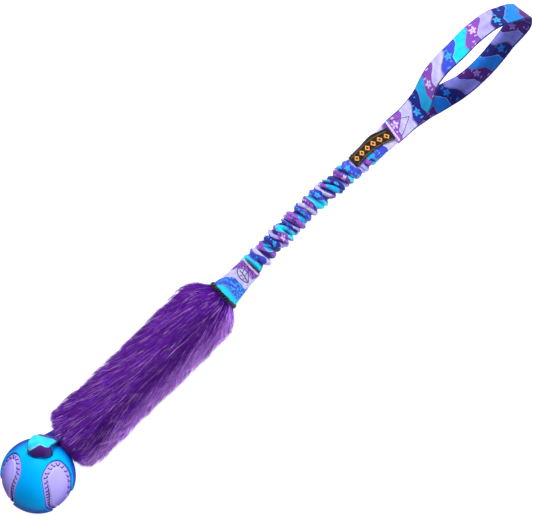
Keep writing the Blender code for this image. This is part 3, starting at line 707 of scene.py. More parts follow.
def in_window(theta, phi):
    """Whether directions lie inside a window."""
    d = np.mod(phi, 180.0) - 90.0
    x, y = theta.ravel(), d.ravel()
    inside = np.zeros(len(x), bool)
    a, b = outline, np.roll(outline, -1, 0)
    for (x0, y0), (x1, y1) in zip(a, b):
        if x0 == x1:
            continue
        crosses = (x0 > x) != (x1 > x)
        inside ^= crosses & (y < (y1 - y0) * (x - x0) / (x1 - x0) + y0)
    return inside.reshape(theta.shape)


LIP, UNDER = 1.1, 30.38
per_degree = BALL_R * math.pi / 180
insets = np.array((0.0, 0.05, 0.13, 0.25, 0.42, 0.65, 0.95, 1.3))  # mm from the border
skin = Build()
for rib in range(4):
    broad = rib % 2 == 1
    side = broad_side if broad else spike_side
    side_theta = np.maximum.accumulate(side[:, 0] + np.arange(len(side)) * 1e-5)
    side_span = 90.0 - side[:, 1] if broad else side[:, 1]
    top_rows = np.concatenate([np.linspace(0.0, side_theta[0] - 1.6 / per_degree, 16), side_theta[0] - np.array((1.3, 1.0, 0.75, 0.5, 0.3, 0.15, 0.06)) / per_degree])
    low_rows = np.concatenate([side_theta[-1] + np.array((0.06, 0.15, 0.3, 0.5, 0.75, 1.0, 1.3)) / per_degree, np.linspace(side_theta[-1] + 1.6 / per_degree, 180.0, 12)]) if broad else np.zeros(0)
    thetas = np.concatenate([top_rows, side_theta, low_rows])
    spans = np.concatenate([np.full(len(top_rows), 45.0), np.maximum(side_span, 0.02), np.full(len(low_rows), 90.0)])
    middle = 90.0 * (rib + 1)
    cols = []
    for th, span in zip(thetas, spans):
        mm_per = max(BALL_R * math.sin(math.radians(th)) * math.pi / 180, 1e-4)
        off = np.minimum(insets / mm_per, span * 0.3 * np.arange(len(insets)) / len(insets))
        inner = np.linspace(-(span - off[-1]), span - off[-1], 34)[1:-1]
        cols.append(np.concatenate([-(span - off), inner, (span - off)[::-1]]))
    phi = middle + np.array(cols)
    theta = np.repeat(thetas[:, None], phi.shape[1], 1)
    d = border_distance(ball_point(theta, phi, BALL_R), None)
    u = np.clip(1 - d / LIP, 0, 1)
    radius = BALL_R - LIP * (1 - np.sqrt(1 - u**2 * 0.985))
    skin.grid(ball_point(theta, phi, radius))
    skin.grid(ball_point(theta, phi, UNDER)[:, ::-1])
    first, last = len(top_rows), len(top_rows) + len(side_theta)
    for column in (0, -1):
        edge = ball_point(theta, phi, radius)[first:last, column]
        low = ball_point(theta, phi, UNDER)[first:last, column]
        skin.grid(np.stack([edge, (edge + low) / 2, low], 1))
ball_skin = skin.mesh("ball_skin", [blue_rubber], merge=0.004, sharp=50)

STRAP_YAW, STRAP_ROLL, TUNNEL_N = math.radians(42.0), 0.0, 19.6
STRAP_N = np.array((math.cos(STRAP_YAW), math.sin(STRAP_YAW), 0.0))
STRAP_W = np.array((math.sin(STRAP_YAW) * math.cos(STRAP_ROLL), -math.cos(STRAP_YAW) * math.cos(STRAP_ROLL), math.sin(STRAP_ROLL)))
STRAP_U = np.cross(STRAP_W, STRAP_N)


def strap_point(n, up, w=0.0):
    n, up, w = np.broadcast_arrays(np.asarray(n, float), up, w)
    return BALL_C + STRAP_N * n[..., None] + STRAP_U * up[..., None] + STRAP_W * w[..., None]


def tunnel_cutter(name, half_w, half_h, flare):
    rows = []
    a = np.linspace(0, 2 * np.pi, 56, endpoint=False)
    cx, cy = superellipse(a, 2.9)
    for z in np.concatenate([np.linspace(-40, -15, 18), np.linspace(15, 40, 18)]):
        f = flare * max(0.0, (abs(z) - 15.0) / 12.5) ** 2.2
        rows.append(
            strap_point(TUNNEL_N + 0.35 * f + 1.4 * min(1.0, f) * np.maximum(cy, 0.0) + cy * (half_h + f), np.full(56, z), 1.0 + cx * (half_w - 0.18 * f))
        )
    b = Build()
    b.grid(np.array(rows), cyclic=True, caps=True)
    cutter = b.mesh(name, [], shade=False)
    return cutter


def subtract(obj, cutter):
    mod = obj.modifiers.new("cut", "BOOLEAN")
    mod.operation, mod.solver, mod.object = "DIFFERENCE", "EXACT", cutter
    bpy.context.view_layer.update()
    graph = bpy.context.evaluated_depsgraph_get()
    mesh = bpy.data.meshes.new_from_object(obj.evaluated_get(graph))
    obj.modifiers.clear()
    old_mesh = obj.data
    obj.data = mesh
    mesh.name = obj.name
    bpy.data.meshes.remove(old_mesh)
    return obj


cutter = tunnel_cutter("tunnel_cutter", 10.9, 3.0, 2.0)
subtract(ball_skin, cutter)
ball_skin.data.set_sharp_from_angle(angle=math.radians(40))
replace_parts(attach(ball_skin, "ball"), "ball_shell")


def field_radius(d):
    """Height of the core in a window, by the distance from the border: a groove for the marks, then a ridge."""
    return 30.20 + 0.22 * smooth(d, 0.2, 1.6) - 0.25 * smooth(d, 1.6, 2.6) + 0.62 * smooth(d, 6.0, 6.9) - 0.16 * smooth(d, 7.0, 9.0)


# The core: one ball, raised inside the windows within the row of marks.
core = Build()
TH, PH = 188, 384
th = np.repeat(np.linspace(0, 180, TH)[:, None], PH, 1)
ph = np.repeat(np.linspace(0, 360, PH, endpoint=False)[None], TH, 0)
rim_d = border_distance(ball_point(th, ph, BALL_R), None) * np.where(in_window(th, ph), 1.0, -1.0)
core.grid(ball_point(th, ph, field_radius(np.maximum(rim_d, 0))), cyclic=True)
ball_inside = core.mesh("ball_inside", [lilac_rubber], merge=0.002)
subtract(ball_inside, cutter)
at = np.empty(len(ball_inside.data.vertices) * 3, np.float32)
ball_inside.data.vertices.foreach_get("co", at)
dirs = unit(at.reshape(-1, 3).astype(float) * 1000 + np.array((SHIFT_X, 0, 0)) - BALL_C)
polar = np.degrees(np.arccos(np.clip(dirs @ POLE, -1, 1)))
round_it = np.degrees(np.arctan2(dirs @ SIDE, dirs @ UPWARD))
# distance from the window border, which the core's material uses for its painted shade and painted highlight
gap = border_distance(BALL_C + dirs * BALL_R, None) * np.where(in_window(polar, np.mod(round_it, 360.0)), 1.0, 0.0)
layer = ball_inside.data.attributes.new("rim", "FLOAT", "POINT")
layer.data.foreach_set("value", gap.astype(np.float32))
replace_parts(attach(ball_inside, "ball"), "ball_core")
bpy.data.objects.remove(cutter, do_unlink=True)

# A row of marks inside each border: a bar across it with a foot along it; further down the feet join into a ladder.
marks = Build()
for side in (90.0, 270.0):
    line = ball_point(outline[:, 0], side + outline[:, 1], BALL_R)
    even, s_len = resample(np.concatenate([line, line[:1]]), 0.25)
    total = s_len[-1]
    far = np.degrees(np.arccos(np.clip(unit(even - BALL_C) @ POLE, -1, 1)))
    density = 1.0 / (5.7 - 2.5 * smooth(far, 84, 118))
    passed = np.concatenate([[0], np.cumsum((density[1:] + density[:-1]) / 2 * np.diff(s_len))])
    count = int(round(passed[-1]))
    for k in range(count):
        s0 = float(np.interp(passed[-1] * (k + 0.5) / count, passed, s_len))
        at = np.array([np.interp(s0, s_len, even[:, c]) for c in range(3)])
        ahead = np.array([np.interp(min(s0 + 0.4, total), s_len, even[:, c]) for c in range(3)])
        behind = np.array([np.interp(max(s0 - 0.4, 0), s_len, even[:, c]) for c in range(3)])
        normal = unit(at - BALL_C)
        along = unit(ahead - behind)
        inward = np.cross(normal, along)
        probe = unit(at + inward * 1.5 - BALL_C)
        probe_theta = np.array([math.degrees(math.acos(float(probe @ POLE)))])
        probe_phi = np.array([math.degrees(math.atan2(float(probe @ SIDE), float(probe @ UPWARD))) % 360.0])
        if not in_window(probe_theta, probe_phi)[0]:
            inward = -inward
        here = float(np.degrees(np.arccos(np.clip(normal @ POLE, -1, 1))))
        towards = along if along @ POLE > 0 else -along
        foot = (1.7 + 1.3 * float(smooth(here, 100, 118))) * min(1.0, max(0.2, abs(float(along @ POLE)) / 0.35))
        start, reach = 2.0, 5.3 - 1.3 * float(smooth(here, 118, 140))
        pts = [at + inward * q + towards * 0.35 * (q - start) for q in np.linspace(start, reach, 6)]
        pts += [pts[-1] + towards * q - inward * 0.15 * q for q in np.linspace(0.35, foot, 5)]
        dirs = unit(np.array(pts) - BALL_C)
        dist = border_distance(BALL_C + dirs * BALL_R, side)
        if dist[1:].min() < 1.2:
            continue
        wide = np.array([0.40, 0.50, 0.42, 0.38, 0.38, 0.40] + [0.36] * 4 + [0.26])
        tube(marks, BALL_C + dirs * (field_radius(dist) + 0.06)[:, None], wide, 7)
ball_marks = marks.mesh("ball_marks", [mark_rubber])
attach(ball_marks, "ball")

# ---------------------------------------------------------------- the strap through the ball
STRAP_SIDE = -1.0
HALF_RING = [
    # away from the ball's centre, up, aside
    (19.2, 0.0, 1.0), (19.2, 12.0, 1.0), (19.6, 20.0, 1.0), (20.6, 25.6, 0.9), (22.2, 28.8, 0.4), (24.6, 30.3, -0.4), (27.0, 29.2, 0.0),
    (29.2, 25.2, 1.6), (31.0, 19.6, 3.8), (32.4, 13.2, 6.0), (33.2, 7.2, 7.9), (33.5, 3.6, 8.9), (33.6, 1.9, 9.3),
]
half = catmull(HALF_RING, 8)
ring_path = np.concatenate([half[::-1] * (1, -1, 1), half[1:]])
ring_path, _ = resample(ring_path, 0.8)
# the far part of the strap rolls over, so that its near edge lies on the ball
rolled = np.radians(np.where(ring_path[:, 1] > 0, 17.0, 6.0) + 15.0 * smooth(ring_path[:, 0], 27.5, 32.0)) * smooth(np.abs(ring_path[:, 1]), 30.5, 20.0) * smooth(ring_path[:, 0], 23.0, 29.0) * np.sign(ring_path[:, 1])
ring_width = STRAP_W * np.cos(rolled)[:, None] - STRAP_U * np.sin(rolled)[:, None]
ring_path = strap_point(ring_path[:, 0], ring_path[:, 1], ring_path[:, 2])
mouth_at = np.linalg.norm(ring_path - strap_point(21.0, 27.0, 0.8), axis=1).argmin() * 0.8
mouth_low = np.linalg.norm(ring_path - strap_point(21.0, -27.0, 0.8), axis=1).argmin() * 0.8


def strap_dish(s, v):
    """The webbing sags across its width where it goes into the ball."""
    near = np.exp(-(((s - mouth_at) / 6.5) ** 2)) + 0.2 * np.exp(-(((s - mouth_low) / 6.5) ** 2))
    dish = (1 - np.abs(v / 10.0) ** 3.4) * near * 5.4 - 1.0 * near
    return dish * STRAP_SIDE + 0.14 * np.sin(s * 0.35 + v * 0.25) + 0.08 * np.sin(v * 0.7 + 1.0)


strap_print = printed(
    "strap_print", 18.5,
    [(PLUM, None), (BRIGHT, None), (NAVY, None), (AZURE, None), (PLUM, None), (CYAN, None)],
    first=mouth_at + 4.6 - 18.5, slant=0.06, zig=0.7, half_wave=10.0, phase=3.0, edge=10.0, motif=False,
)
strap = Build()
ribbon(
    strap, ring_path, ring_width, 10.1, 0.85, cross=20,
    wavy=strap_dish,
)
ball_strap = strap.mesh("ball_strap", [strap_print], sharp=60)
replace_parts(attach(ball_strap, "ball"), "ball_loop")

PIVOT = np.array((37.5, 12.0, 28.5))
THROAT = strap_point(33.0, 0.0, 9.3)
neck = Build()
rows, uvs = [], []
a = np.linspace(0, 2 * np.pi, 41)[:-1]
for k, s in enumerate(np.linspace(0, 1, 22)):
    if s < 0.45:
        q = s / 0.45
        centre = THROAT * (1 - q) + PIVOT * q
    else:
        q = (s - 0.45) / 0.55
        centre = PIVOT * (1 - q) + np.array((56.0, 4.0, 24.8)) * q
    turned = min(s / 0.45, 1.0)
    span = STRAP_W * 9.8 * (1 - turned) - Y_DIR * 5.9 * turned
    w = unit(span)
    up = unit(Z_DIR - w * w[2])
    hw = float(np.linalg.norm(span)) + 1.6 * smooth(s, 0.6, 1)
    hh = 1.9 + 1.1 * smooth(s, 0, 0.5) - 0.5 * smooth(s, 0.6, 1)
    cx, cy = superellipse(a, 2.6)
    pleat = 1 + 0.10 * np.cos(5 * a + 1.0) * smooth(s, 0, 0.3)
    rows.append(centre + w * (cx * hw * pleat)[:, None] + up * (cy * hh * pleat)[:, None])
    uvs.append(np.stack([np.full(41, mouth_at + 25.0 + s * 11.0), np.linspace(-20, 20, 41)], 1))
neck.grid(np.array(rows), np.array(uvs), cyclic=True, caps=True)
strap_neck = neck.mesh("strap_neck", [strap_print], sharp=60)
tuple(to_row(PIVOT - X_DIR * 4))
tuple(to_row(PIVOT + X_DIR * 9))
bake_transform(strap_neck)

# ---------------------------------------------------------------- the plush
PLUSH = [
    (14.0, 2.2, 17.5, 40.4), (26.0, 2.0, 19.2, 40.6), (34.0, 1.8, 22.6, 40.6), (41.0, 1.6, 24.4, 40.4), (56.0, 1.2, 25.2, 40.4),
    (75.0, 1.1, 24.6, 40.0), (100.0, 1.0, 24.4, 39.0), (125.0, 1.1, 24.6, 38.0), (150.0, 1.3, 24.8, 36.8),
    (170.0, 1.6, 24.8, 35.2), (185.0, 2.0, 24.8, 33.6), (196.0, 2.2, 24.4, 31.6), (204.0, 2.0, 22.6, 28.6),
    (210.0, 1.7, 19.2, 24.4), (214.0, 1.5, 15.4, 20.4), (216.5, 1.4, 13.2, 18.0),
]


def pile_at(x, a, depth):
    """A point depth mm under the outline of the pile, at angle a round it, and the direction away from it."""
    x, a, depth = np.broadcast_arrays(np.asarray(x, float), a, depth)
    y0, hw, top = (table_at(x, PLUSH, k) for k in (1, 2, 3))
    low = -2.6 + 9.6 * smooth(x, 205, 216.5)
    cz, hh = (top + low) / 2, (top - low) / 2
    c, s = superellipse(a, 2.25)
    point = np.stack([x, y0 + c * hw, cz + s * hh], -1)
    c2, s2 = superellipse(a, 2.25 / 1.25)
    normal = unit(np.stack([np.zeros_like(x), c2 / hw, s2 / hh], -1))
    slope = -(table_at(x + 1, PLUSH, 2) - table_at(x - 1, PLUSH, 2)) / 2
    normal = unit(normal + X_DIR * slope[..., None])
    point = point - normal * depth[..., None]
    point[..., 2] = np.maximum(point[..., 2], 0.25 + 0.10 * depth)
    return point, normal


def plush_finish(name, strands):
    s = Shade(name, 0.60 if strands else 0.9, Sheen_Weight=0.0, Sheen_Roughness=0.35)
    s.shader.inputs["Sheen Tint"].default_value = (0.75, 0.5, 1.0, 1.0)
    s.shader.inputs["Specular Tint"].default_value = (0.80, 0.55, 1.0, 1.0)
    s.shader.inputs["Specular IOR Level"].default_value = 0.10
    if strands:
        split = s.node("ShaderNodeSeparateXYZ")
        s.tree.links.new(s.attribute("strand").outputs["Vector"], split.inputs[0])
        along, tone, painted_glint = split.outputs
        side = s.attribute("side").outputs["Fac"]
        body = s.ramp(
            along,
            [(0.0, (0.024, 0.001, 0.11)), (0.35, (0.120, 0.007, 0.42)), (0.75, (0.245, 0.026, 0.68)), (1.0, (0.47, 0.105, 0.96))],
        )
        # painted rim light: the strands on the -Y side take a lighter, pinker ramp
        rim_light_ramp = s.ramp(along, [(0.0, (0.055, 0.004, 0.24)), (0.4, (0.33, 0.070, 0.88)), (1.0, (0.74, 0.34, 1.0))])
        body = s.mix(side, body, rim_light_ramp)
        # darker where the tone is low: random per lock, with painted shade along the parting and near the ball
        body = s.mix(s.span(tone, 0.06, 0.78, 0.94, 0.0, "LINEAR"), body, (0.022, 0.001, 0.095))
        # painted highlight: glint strands turn pale towards their tips
        glint_colour = s.mix(s.span(along, 0.0, 0.4), (0.31, 0.060, 0.78), (0.88, 0.52, 1.0))
        body = s.mix(s.span(painted_glint, 0.66, 0.98, 0.0, 1.0), body, glint_colour)
        return s.done(body)
    n = s.noise(s.place(), 260.0, 3.0)
    return s.done(s.mix(n, (0.010, 0.001, 0.05), (0.028, 0.004, 0.11)), None, s.bump(n, 0.8, 0.001))


plush_base, plush_pile = plush_finish("plush_backing", False), plush_finish("plush_pile", True)
a = np.linspace(0, 2 * np.pi, 72, endpoint=False)
xs = np.concatenate([[41.0, 41.6, 43.0], np.linspace(46, 206, 60), [208.5, 211, 213, 214.5, 215.6]])
depth = 6.0 * smooth(xs, 217, 204) + 0.8
scale = np.concatenate([[0.30, 0.7, 0.92], np.ones(60), [0.99, 0.97, 0.93, 0.86, 0.72]])
P, _ = pile_at(xs[:, None], a[None], depth[:, None])
mid = P.mean(1, keepdims=True)
P = mid + (P - mid) * scale[:, None, None]
body = Build()
body.grid(P, cyclic=True, caps=True)
plush_body = body.mesh("plush_body", [plush_base])
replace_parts(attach(plush_body, "plush"), "fur_sleeve")


def strands(name, count, seed, x_range, length, wild=0.0, width=0.15, lift=0.0, painted_glint_share=0.0, lock=(13.0, 3.6), pull=0.5, wisp=0.0, tip=0.10):
    """Tapered three-sided strands rooted on the backing and combed towards the ball."""
    rng = np.random.default_rng(seed)
    x0 = rng.uniform(*x_range, count)
    angle = rng.uniform(-np.pi, np.pi, count)
    # fewer below, where the pile is pressed flat
    keep = (np.sin(angle) > -0.35) | (rng.uniform(0, 1, count) < 0.45)
    if wisp:
        keep = (np.abs(np.cos(angle)) > 0.80) & (np.sin(angle) > -0.25)
    x0, angle = x0[keep], angle[keep]
    y_root = table_at(x0, PLUSH, 1) + np.cos(angle) * table_at(x0, PLUSH, 2)
    corner = 34.0 + 9.0 * smooth(-y_root, 18, 28) + 5.5 * smooth(y_root, 6, 20) + 8.5 * smooth(y_root, 18, 28)
    x0, angle = x0[x0 > corner], angle[x0 > corner]
    n = len(x0)
    root_depth = 5.6 * smooth(x0, 217, 203) + 0.9
    L = length * np.clip(rng.normal(1.0, 0.18, n), 0.5, 1.5) * (0.50 + 0.50 * smooth(x0, 216.5, 190))
    # the pile ends in a rounded edge in front of the ball
    y_root = table_at(x0, PLUSH, 1) + np.cos(angle) * table_at(x0, PLUSH, 2)
    end_x = 28.6 + 2.7 * smooth(np.abs(y_root), 9, 13) + 1.4 * smooth(-y_root, 12, 18) + 9.0 * smooth(-y_root, 18, 28) + 5.5 * smooth(y_root, 6, 20) + 8.5 * smooth(y_root, 18, 28) + rng.normal(0, 0.7, n)
    L = np.minimum(L, np.maximum(x0 - end_x, 3.0) / 0.97)
    # locks: strands of one cell draw together towards their tips
    R = 22.0
    cell_x = np.floor((x0 + 4.0 * np.sin(angle * 5) + seed * 3.1) / lock[0])
    cell_a = np.floor(angle * R / lock[1] + 0.37 * np.mod(cell_x, 3) + 0.1 * seed)
    key = (cell_x * 1310 + cell_a * 17).astype(int)
    _, inverse = np.unique(key, return_inverse=True)
    m = inverse.max() + 1
    number = np.bincount(inverse, minlength=m)
    cx = np.bincount(inverse, x0, m) / number
    ca = np.bincount(inverse, angle, m) / number
    push = rng.normal(0, 1, (m, 4))
    tone_cell = rng.uniform(0, 1, m)
    painted_glint_cell = rng.uniform(0, 1, m)
    t = np.array((0.0, 0.3, 0.64, 1.0))[None]
    # sideways lean: slight over the crown, more at both sides, and the parting lies a little to one side of the middle
    y_part = np.cos(angle) + 0.22
    slope = np.where(y_part > 0, 0.16, 0.30) * np.tanh(y_part * 3.0) * (0.35 + 0.65 * np.abs(y_part))
    slope = slope + 0.035 * push[inverse, 3] + rng.normal(0, 0.045 + 0.05 * wild, n)
    run = np.maximum(np.abs(np.sin(angle)), 0.40) * np.sign(np.sin(angle))
    turn = -slope * L / (24.0 * run)
    turn = np.where(np.sin(angle) < -0.1, turn * 0.4, turn)
    toward = (ca[inverse] - angle)[:, None] * pull
    bend = rng.normal(0, 0.022, (n, 1))
    a_t = angle[:, None] + turn[:, None] * t + toward * t**1.5 + bend * np.sin(np.pi * t)
    # past the side, a strand stands off instead of going round
    over = np.where(np.sin(angle)[:, None] > 0, np.maximum(0, -np.sin(a_t)), 0) + np.zeros_like(a_t)
    flip = np.cos(angle)[:, None] > 0
    a_t = np.where((np.sin(angle)[:, None] > 0) & (np.sin(a_t) < 0), np.where(flip, np.maximum(a_t, -0.35), np.minimum(a_t, np.pi + 0.35)), a_t)
    x_t = x0[:, None] - L[:, None] * t * 0.97 + (cx[inverse] - x0)[:, None] * 0.25 * t**1.5
    side = np.abs(np.cos(angle)) ** 3
    d_tip = (
        rng.normal(0.35 - lift, 0.7 + 1.3 * wild, n) + push[inverse, 1] * 0.65 - side * (0.3 + np.abs(rng.normal(0, 0.9 + 1.3 * wild, n)))
        - wisp * push[inverse, 2] ** 2 * (0.6 + 0.4 * np.abs(rng.normal(0, 1, n)))
    )[:, None]
    d_t = root_depth[:, None] * (1 - t) ** 1.5 + d_tip * (1 - (1 - t) ** 1.5) - 1.6 * over
    centre, _ = pile_at(x_t, a_t, np.maximum(d_t, -4.6))
    centre[..., 0] = x_t
    # clear of the ball and of the surface below
    shell = 32.35 + 0.6 * rng.uniform(0, 1, (n, 1, 1))
    away = centre - BALL_C
    dist = np.linalg.norm(away, axis=-1, keepdims=True)
    centre = np.where(dist < shell, BALL_C + away / dist * shell, centre)
    centre[..., 2] = np.maximum(centre[..., 2], 0.22)
    tangent = unit(np.gradient(centre, axis=1))
    ref = unit(rng.normal(0, 1, (n, 1, 3)))
    s1 = unit(np.cross(tangent, ref))
    s2 = np.cross(tangent, s1)
    w = width * rng.uniform(0.75, 1.3, n)[:, None] * np.array((1.0, 1.05, 0.75 + 0.2 * (tip > 0.1), tip))[None]
    rings = []
    for k in range(3):
        q = 2 * np.pi * k / 3
        rings.append(centre + w[..., None] * (s1 * math.cos(q) + s2 * math.sin(q)))
    P = np.stack(rings, 2)  # strand, step, corner
    P[..., 2] = np.maximum(P[..., 2], 0.05)
    verts = to_row(P.reshape(-1, 3))
    base = (np.arange(n) * 12)[:, None]
    quads = []
    for step in range(3):
        for k in range(3):
            k2 = (k + 1) % 3
            quads.append([step * 3 + k, step * 3 + k2, step * 3 + 3 + k2, step * 3 + 3 + k])
    quads = (base[:, None] + np.array(quads)[None]).reshape(-1, 4)
    caps = np.array([[2, 1, 0], [9, 10, 11]])
    tris = (base[:, None] + caps[None]).reshape(-1, 3)
    mesh = bpy.data.meshes.new(name)
    total = len(quads) + len(tris)
    mesh.vertices.add(len(verts))
    mesh.vertices.foreach_set("co", verts.astype(np.float32).ravel())
    mesh.loops.add(len(quads) * 4 + len(tris) * 3)
    mesh.loops.foreach_set("vertex_index", np.concatenate([quads.ravel(), tris.ravel()]).astype(np.int32))
    mesh.polygons.add(total)
    starts = np.concatenate([np.arange(len(quads)) * 4, len(quads) * 4 + np.arange(len(tris)) * 3])
    mesh.polygons.foreach_set("loop_start", starts.astype(np.int32))
    mesh.update(calc_edges=True)
    mesh.validate()
    # along the strand, tone and painted highlights (glint strands), for the pile's colour
    side_at = np.cos(angle)
    # painted light: the strands on the -Y side are lighter and carry more glints, standing in for the rim light on that
    # side
    painted_rim_light = smooth(-side_at, 0.42, 0.80)
    chance = 0.10 + painted_glint_share + 0.34 * painted_rim_light - 0.06 * smooth(side_at, 0.2, 0.9)
    # painted highlight: a share of the strands, drawn by lock, are pale glint strands
    lit = 0.35 * painted_glint_cell[inverse] + 0.65 * rng.uniform(0, 1, n) < chance * 0.86 + 0.10
    painted_glint = np.where(lit, rng.uniform(0.62, 1.0, n), rng.uniform(0, 0.70, n))
    # painted shade: darker along the parting, a little to the -Y side of the middle; the tone is also darker towards
    # the +Y side
    valley = np.exp(-(((side_at + 0.30) / 0.17) ** 2))
    tone = 0.55 * tone_cell[inverse] + 0.45 * rng.uniform(0, 1, n) + 0.16 * painted_rim_light
    tone = np.clip(tone * (1 - 0.42 * valley) * (1 - 0.25 * smooth(side_at, 0.55, 0.95)), 0, 1)
    data = np.zeros((n, 4, 3, 3), np.float32)
    data[..., 0] = t[..., None]
    # in the shade of the ball
    lit_at = 0.30 + 0.70 * smooth(np.linalg.norm(centre - BALL_C, axis=-1), 33.0, 38.5)
    data[..., 1] = tone[:, None, None] * lit_at[..., None]
    data[..., 2] = painted_glint[:, None, None] * lit_at[..., None]
    # the -Y side's share of the painted rim light
    layer = mesh.attributes.new("side", "FLOAT", "POINT")
    layer.data.foreach_set("value", np.repeat(1.0 * smooth(-side_at, 0.52, 0.92), 12).astype(np.float32))
    layer = mesh.attributes.new("strand", "FLOAT_VECTOR", "POINT")
    layer.data.foreach_set("vector", data.ravel())
    # a small cell of the map for each strand
    side_n = int(math.ceil(math.sqrt(n)))
    row_i, col_i = np.divmod(np.arange(n), side_n)
    u0, v0 = col_i / side_n, row_i / side_n
    cell = 1.0 / side_n
    local = np.zeros((12, 2))
    for step in range(4):
        for k in range(3):
            local[step * 3 + k] = (0.12 + 0.38 * k, 0.08 + 0.84 * step / 3)
    uv = np.stack([u0[:, None] + local[None, :, 0] * cell, v0[:, None] + local[None, :, 1] * cell], -1).reshape(-1, 2)
    loops = np.empty(len(mesh.loops), np.int32)
    mesh.loops.foreach_get("vertex_index", loops)
    uv_layer = mesh.uv_layers.new(name="OFBake")
    uv_layer.data.foreach_set("uv", uv[loops].astype(np.float32).ravel())
    mesh.materials.append(plush_pile)
    mesh.shade_smooth()
    obj = bpy.data.objects.new(name, mesh)
    bpy.context.scene.collection.objects.link(obj)
    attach(obj, "plush")
    return obj


strands("pile_a", 9800, 11, (34, 216), 27.0, lock=(17.0, 2.6))
strands("pile_b", 9800, 12, (34, 216), 22.0, lock=(13.0, 3.8))
strands("pile_c", 9800, 13, (34, 216), 25.0, wild=0.5, lock=(21.0, 1.7))
strands("pile_d", 8200, 14, (34, 96), 24.0, wild=0.3, lock=(16.0, 2.2))
strands("pile_e", 8200, 15, (140, 216.5), 20.0, wild=0.3, lift=0.3, lock=(15.0, 2.4))
strands("pile_f", 8000, 16, (36, 214), 24.0, wild=0.30, width=0.17, lift=0.45, painted_glint_share=0.10, lock=(24.0, 0.9), pull=0.9)
strands("pile_g", 2800, 17, (36, 214), 24.0, wild=0.7, width=0.15, lift=0.6, painted_glint_share=0.50, lock=(20.0, 1.4), pull=0.4)
strands("pile_h", 9800, 18, (44, 214), 17.0, wild=0.3, width=0.20, lift=0.0, lock=(11.0, 2.4), pull=0.9, wisp=1.5, tip=0.30)


# ---------------------------------------------------------------- the sleeve
MID_Y = [
    (200, 1.6), (213, 1.4), (219, 1.2), (235, 1.6), (252, 2.4), (275, 3.4), (300, 4.4), (318, 5.0), (335, 4.6), (352, 3.6), (374, 3.0),
    (400, 2.6), (425, 1.4), (440, 0.8),
]
SLEEVE = [
    # x, half width, half height, centre z, squareness, depth of the gathers
    (204.0, 11.6, 2.9, 13.0, 3.2, 0.0),
    (213.0, 12.3, 3.0, 12.8, 3.4, 0.0),
    (219.0, 13.0, 2.9, 12.5, 3.6, 0.0),
    (226.0, 12.0, 2.7, 12.3, 3.6, 0.0),
    (236.0, 10.7, 2.6, 12.0, 3.5, 0.0),
    (246.0, 10.2, 2.8, 11.7, 3.2, 0.0),
    (250.4, 10.1, 3.0, 11.6, 3.0, 0.0),
    (252.0, 8.8, 4.2, 11.4, 2.5, 0.5),
    (254.0, 7.2, 5.6, 11.1, 2.2, 0.95),
    (258.0, 6.6, 6.3, 11.0, 2.0, 1.0),
    (300.0, 6.5, 6.3, 11.0, 2.0, 1.0),
    (350.0, 6.5, 6.3, 11.0, 2.0, 1.0),
    (366.0, 6.6, 6.4, 11.0, 2.0, 1.0),
    (374.0, 7.4, 6.9, 11.0, 2.1, 0.85),
    (382.0, 8.7, 6.8, 11.1, 2.3, 0.60),
    (390.0, 9.6, 5.6, 11.2, 2.6, 0.34),
    (398.0, 10.1, 4.2, 11.3, 2.9, 0.12),
    (405.0, 10.4, 3.0, 11.3, 3.0, 0.04),
    (411.0, 10.3, 1.9, 11.3, 3.0, 0.02),
    (416.0, 10.2, 1.2, 11.3, 3.0, 0.0),
    (434.0, 10.2, 1.1, 11.3, 3.0, 0.0),
]
rng = np.random.default_rng(5)
ridges = []
x = 251.5
while x < 394.0:
    gap = rng.uniform(3.3, 7.4)
    ridges.append(
        dict(
            x=x + gap / 2, half=gap * 0.5, amp=rng.uniform(0.72, 1.10), tilt=rng.uniform(-1.4, 2.6), tilt_at=rng.uniform(-0.9, 0.9),
            sharp=rng.uniform(1.25, 2.4),
            s2=rng.normal(0, 0.65), s2_at=rng.uniform(0, 6.28), s3=rng.normal(0, 0.5), s3_at=rng.uniform(0, 6.28),
            fade=rng.choice([0.0, 0.10, 0.20, 0.55, 0.85], p=[0.25, 0.25, 0.2, 0.2, 0.1]), fade_at=rng.uniform(0, 6.28),
            lean=rng.normal(0.2, 0.9), wide=rng.uniform(0.0, 0.35), wide_at=rng.uniform(0, 6.28),
        )
    )
    x += gap


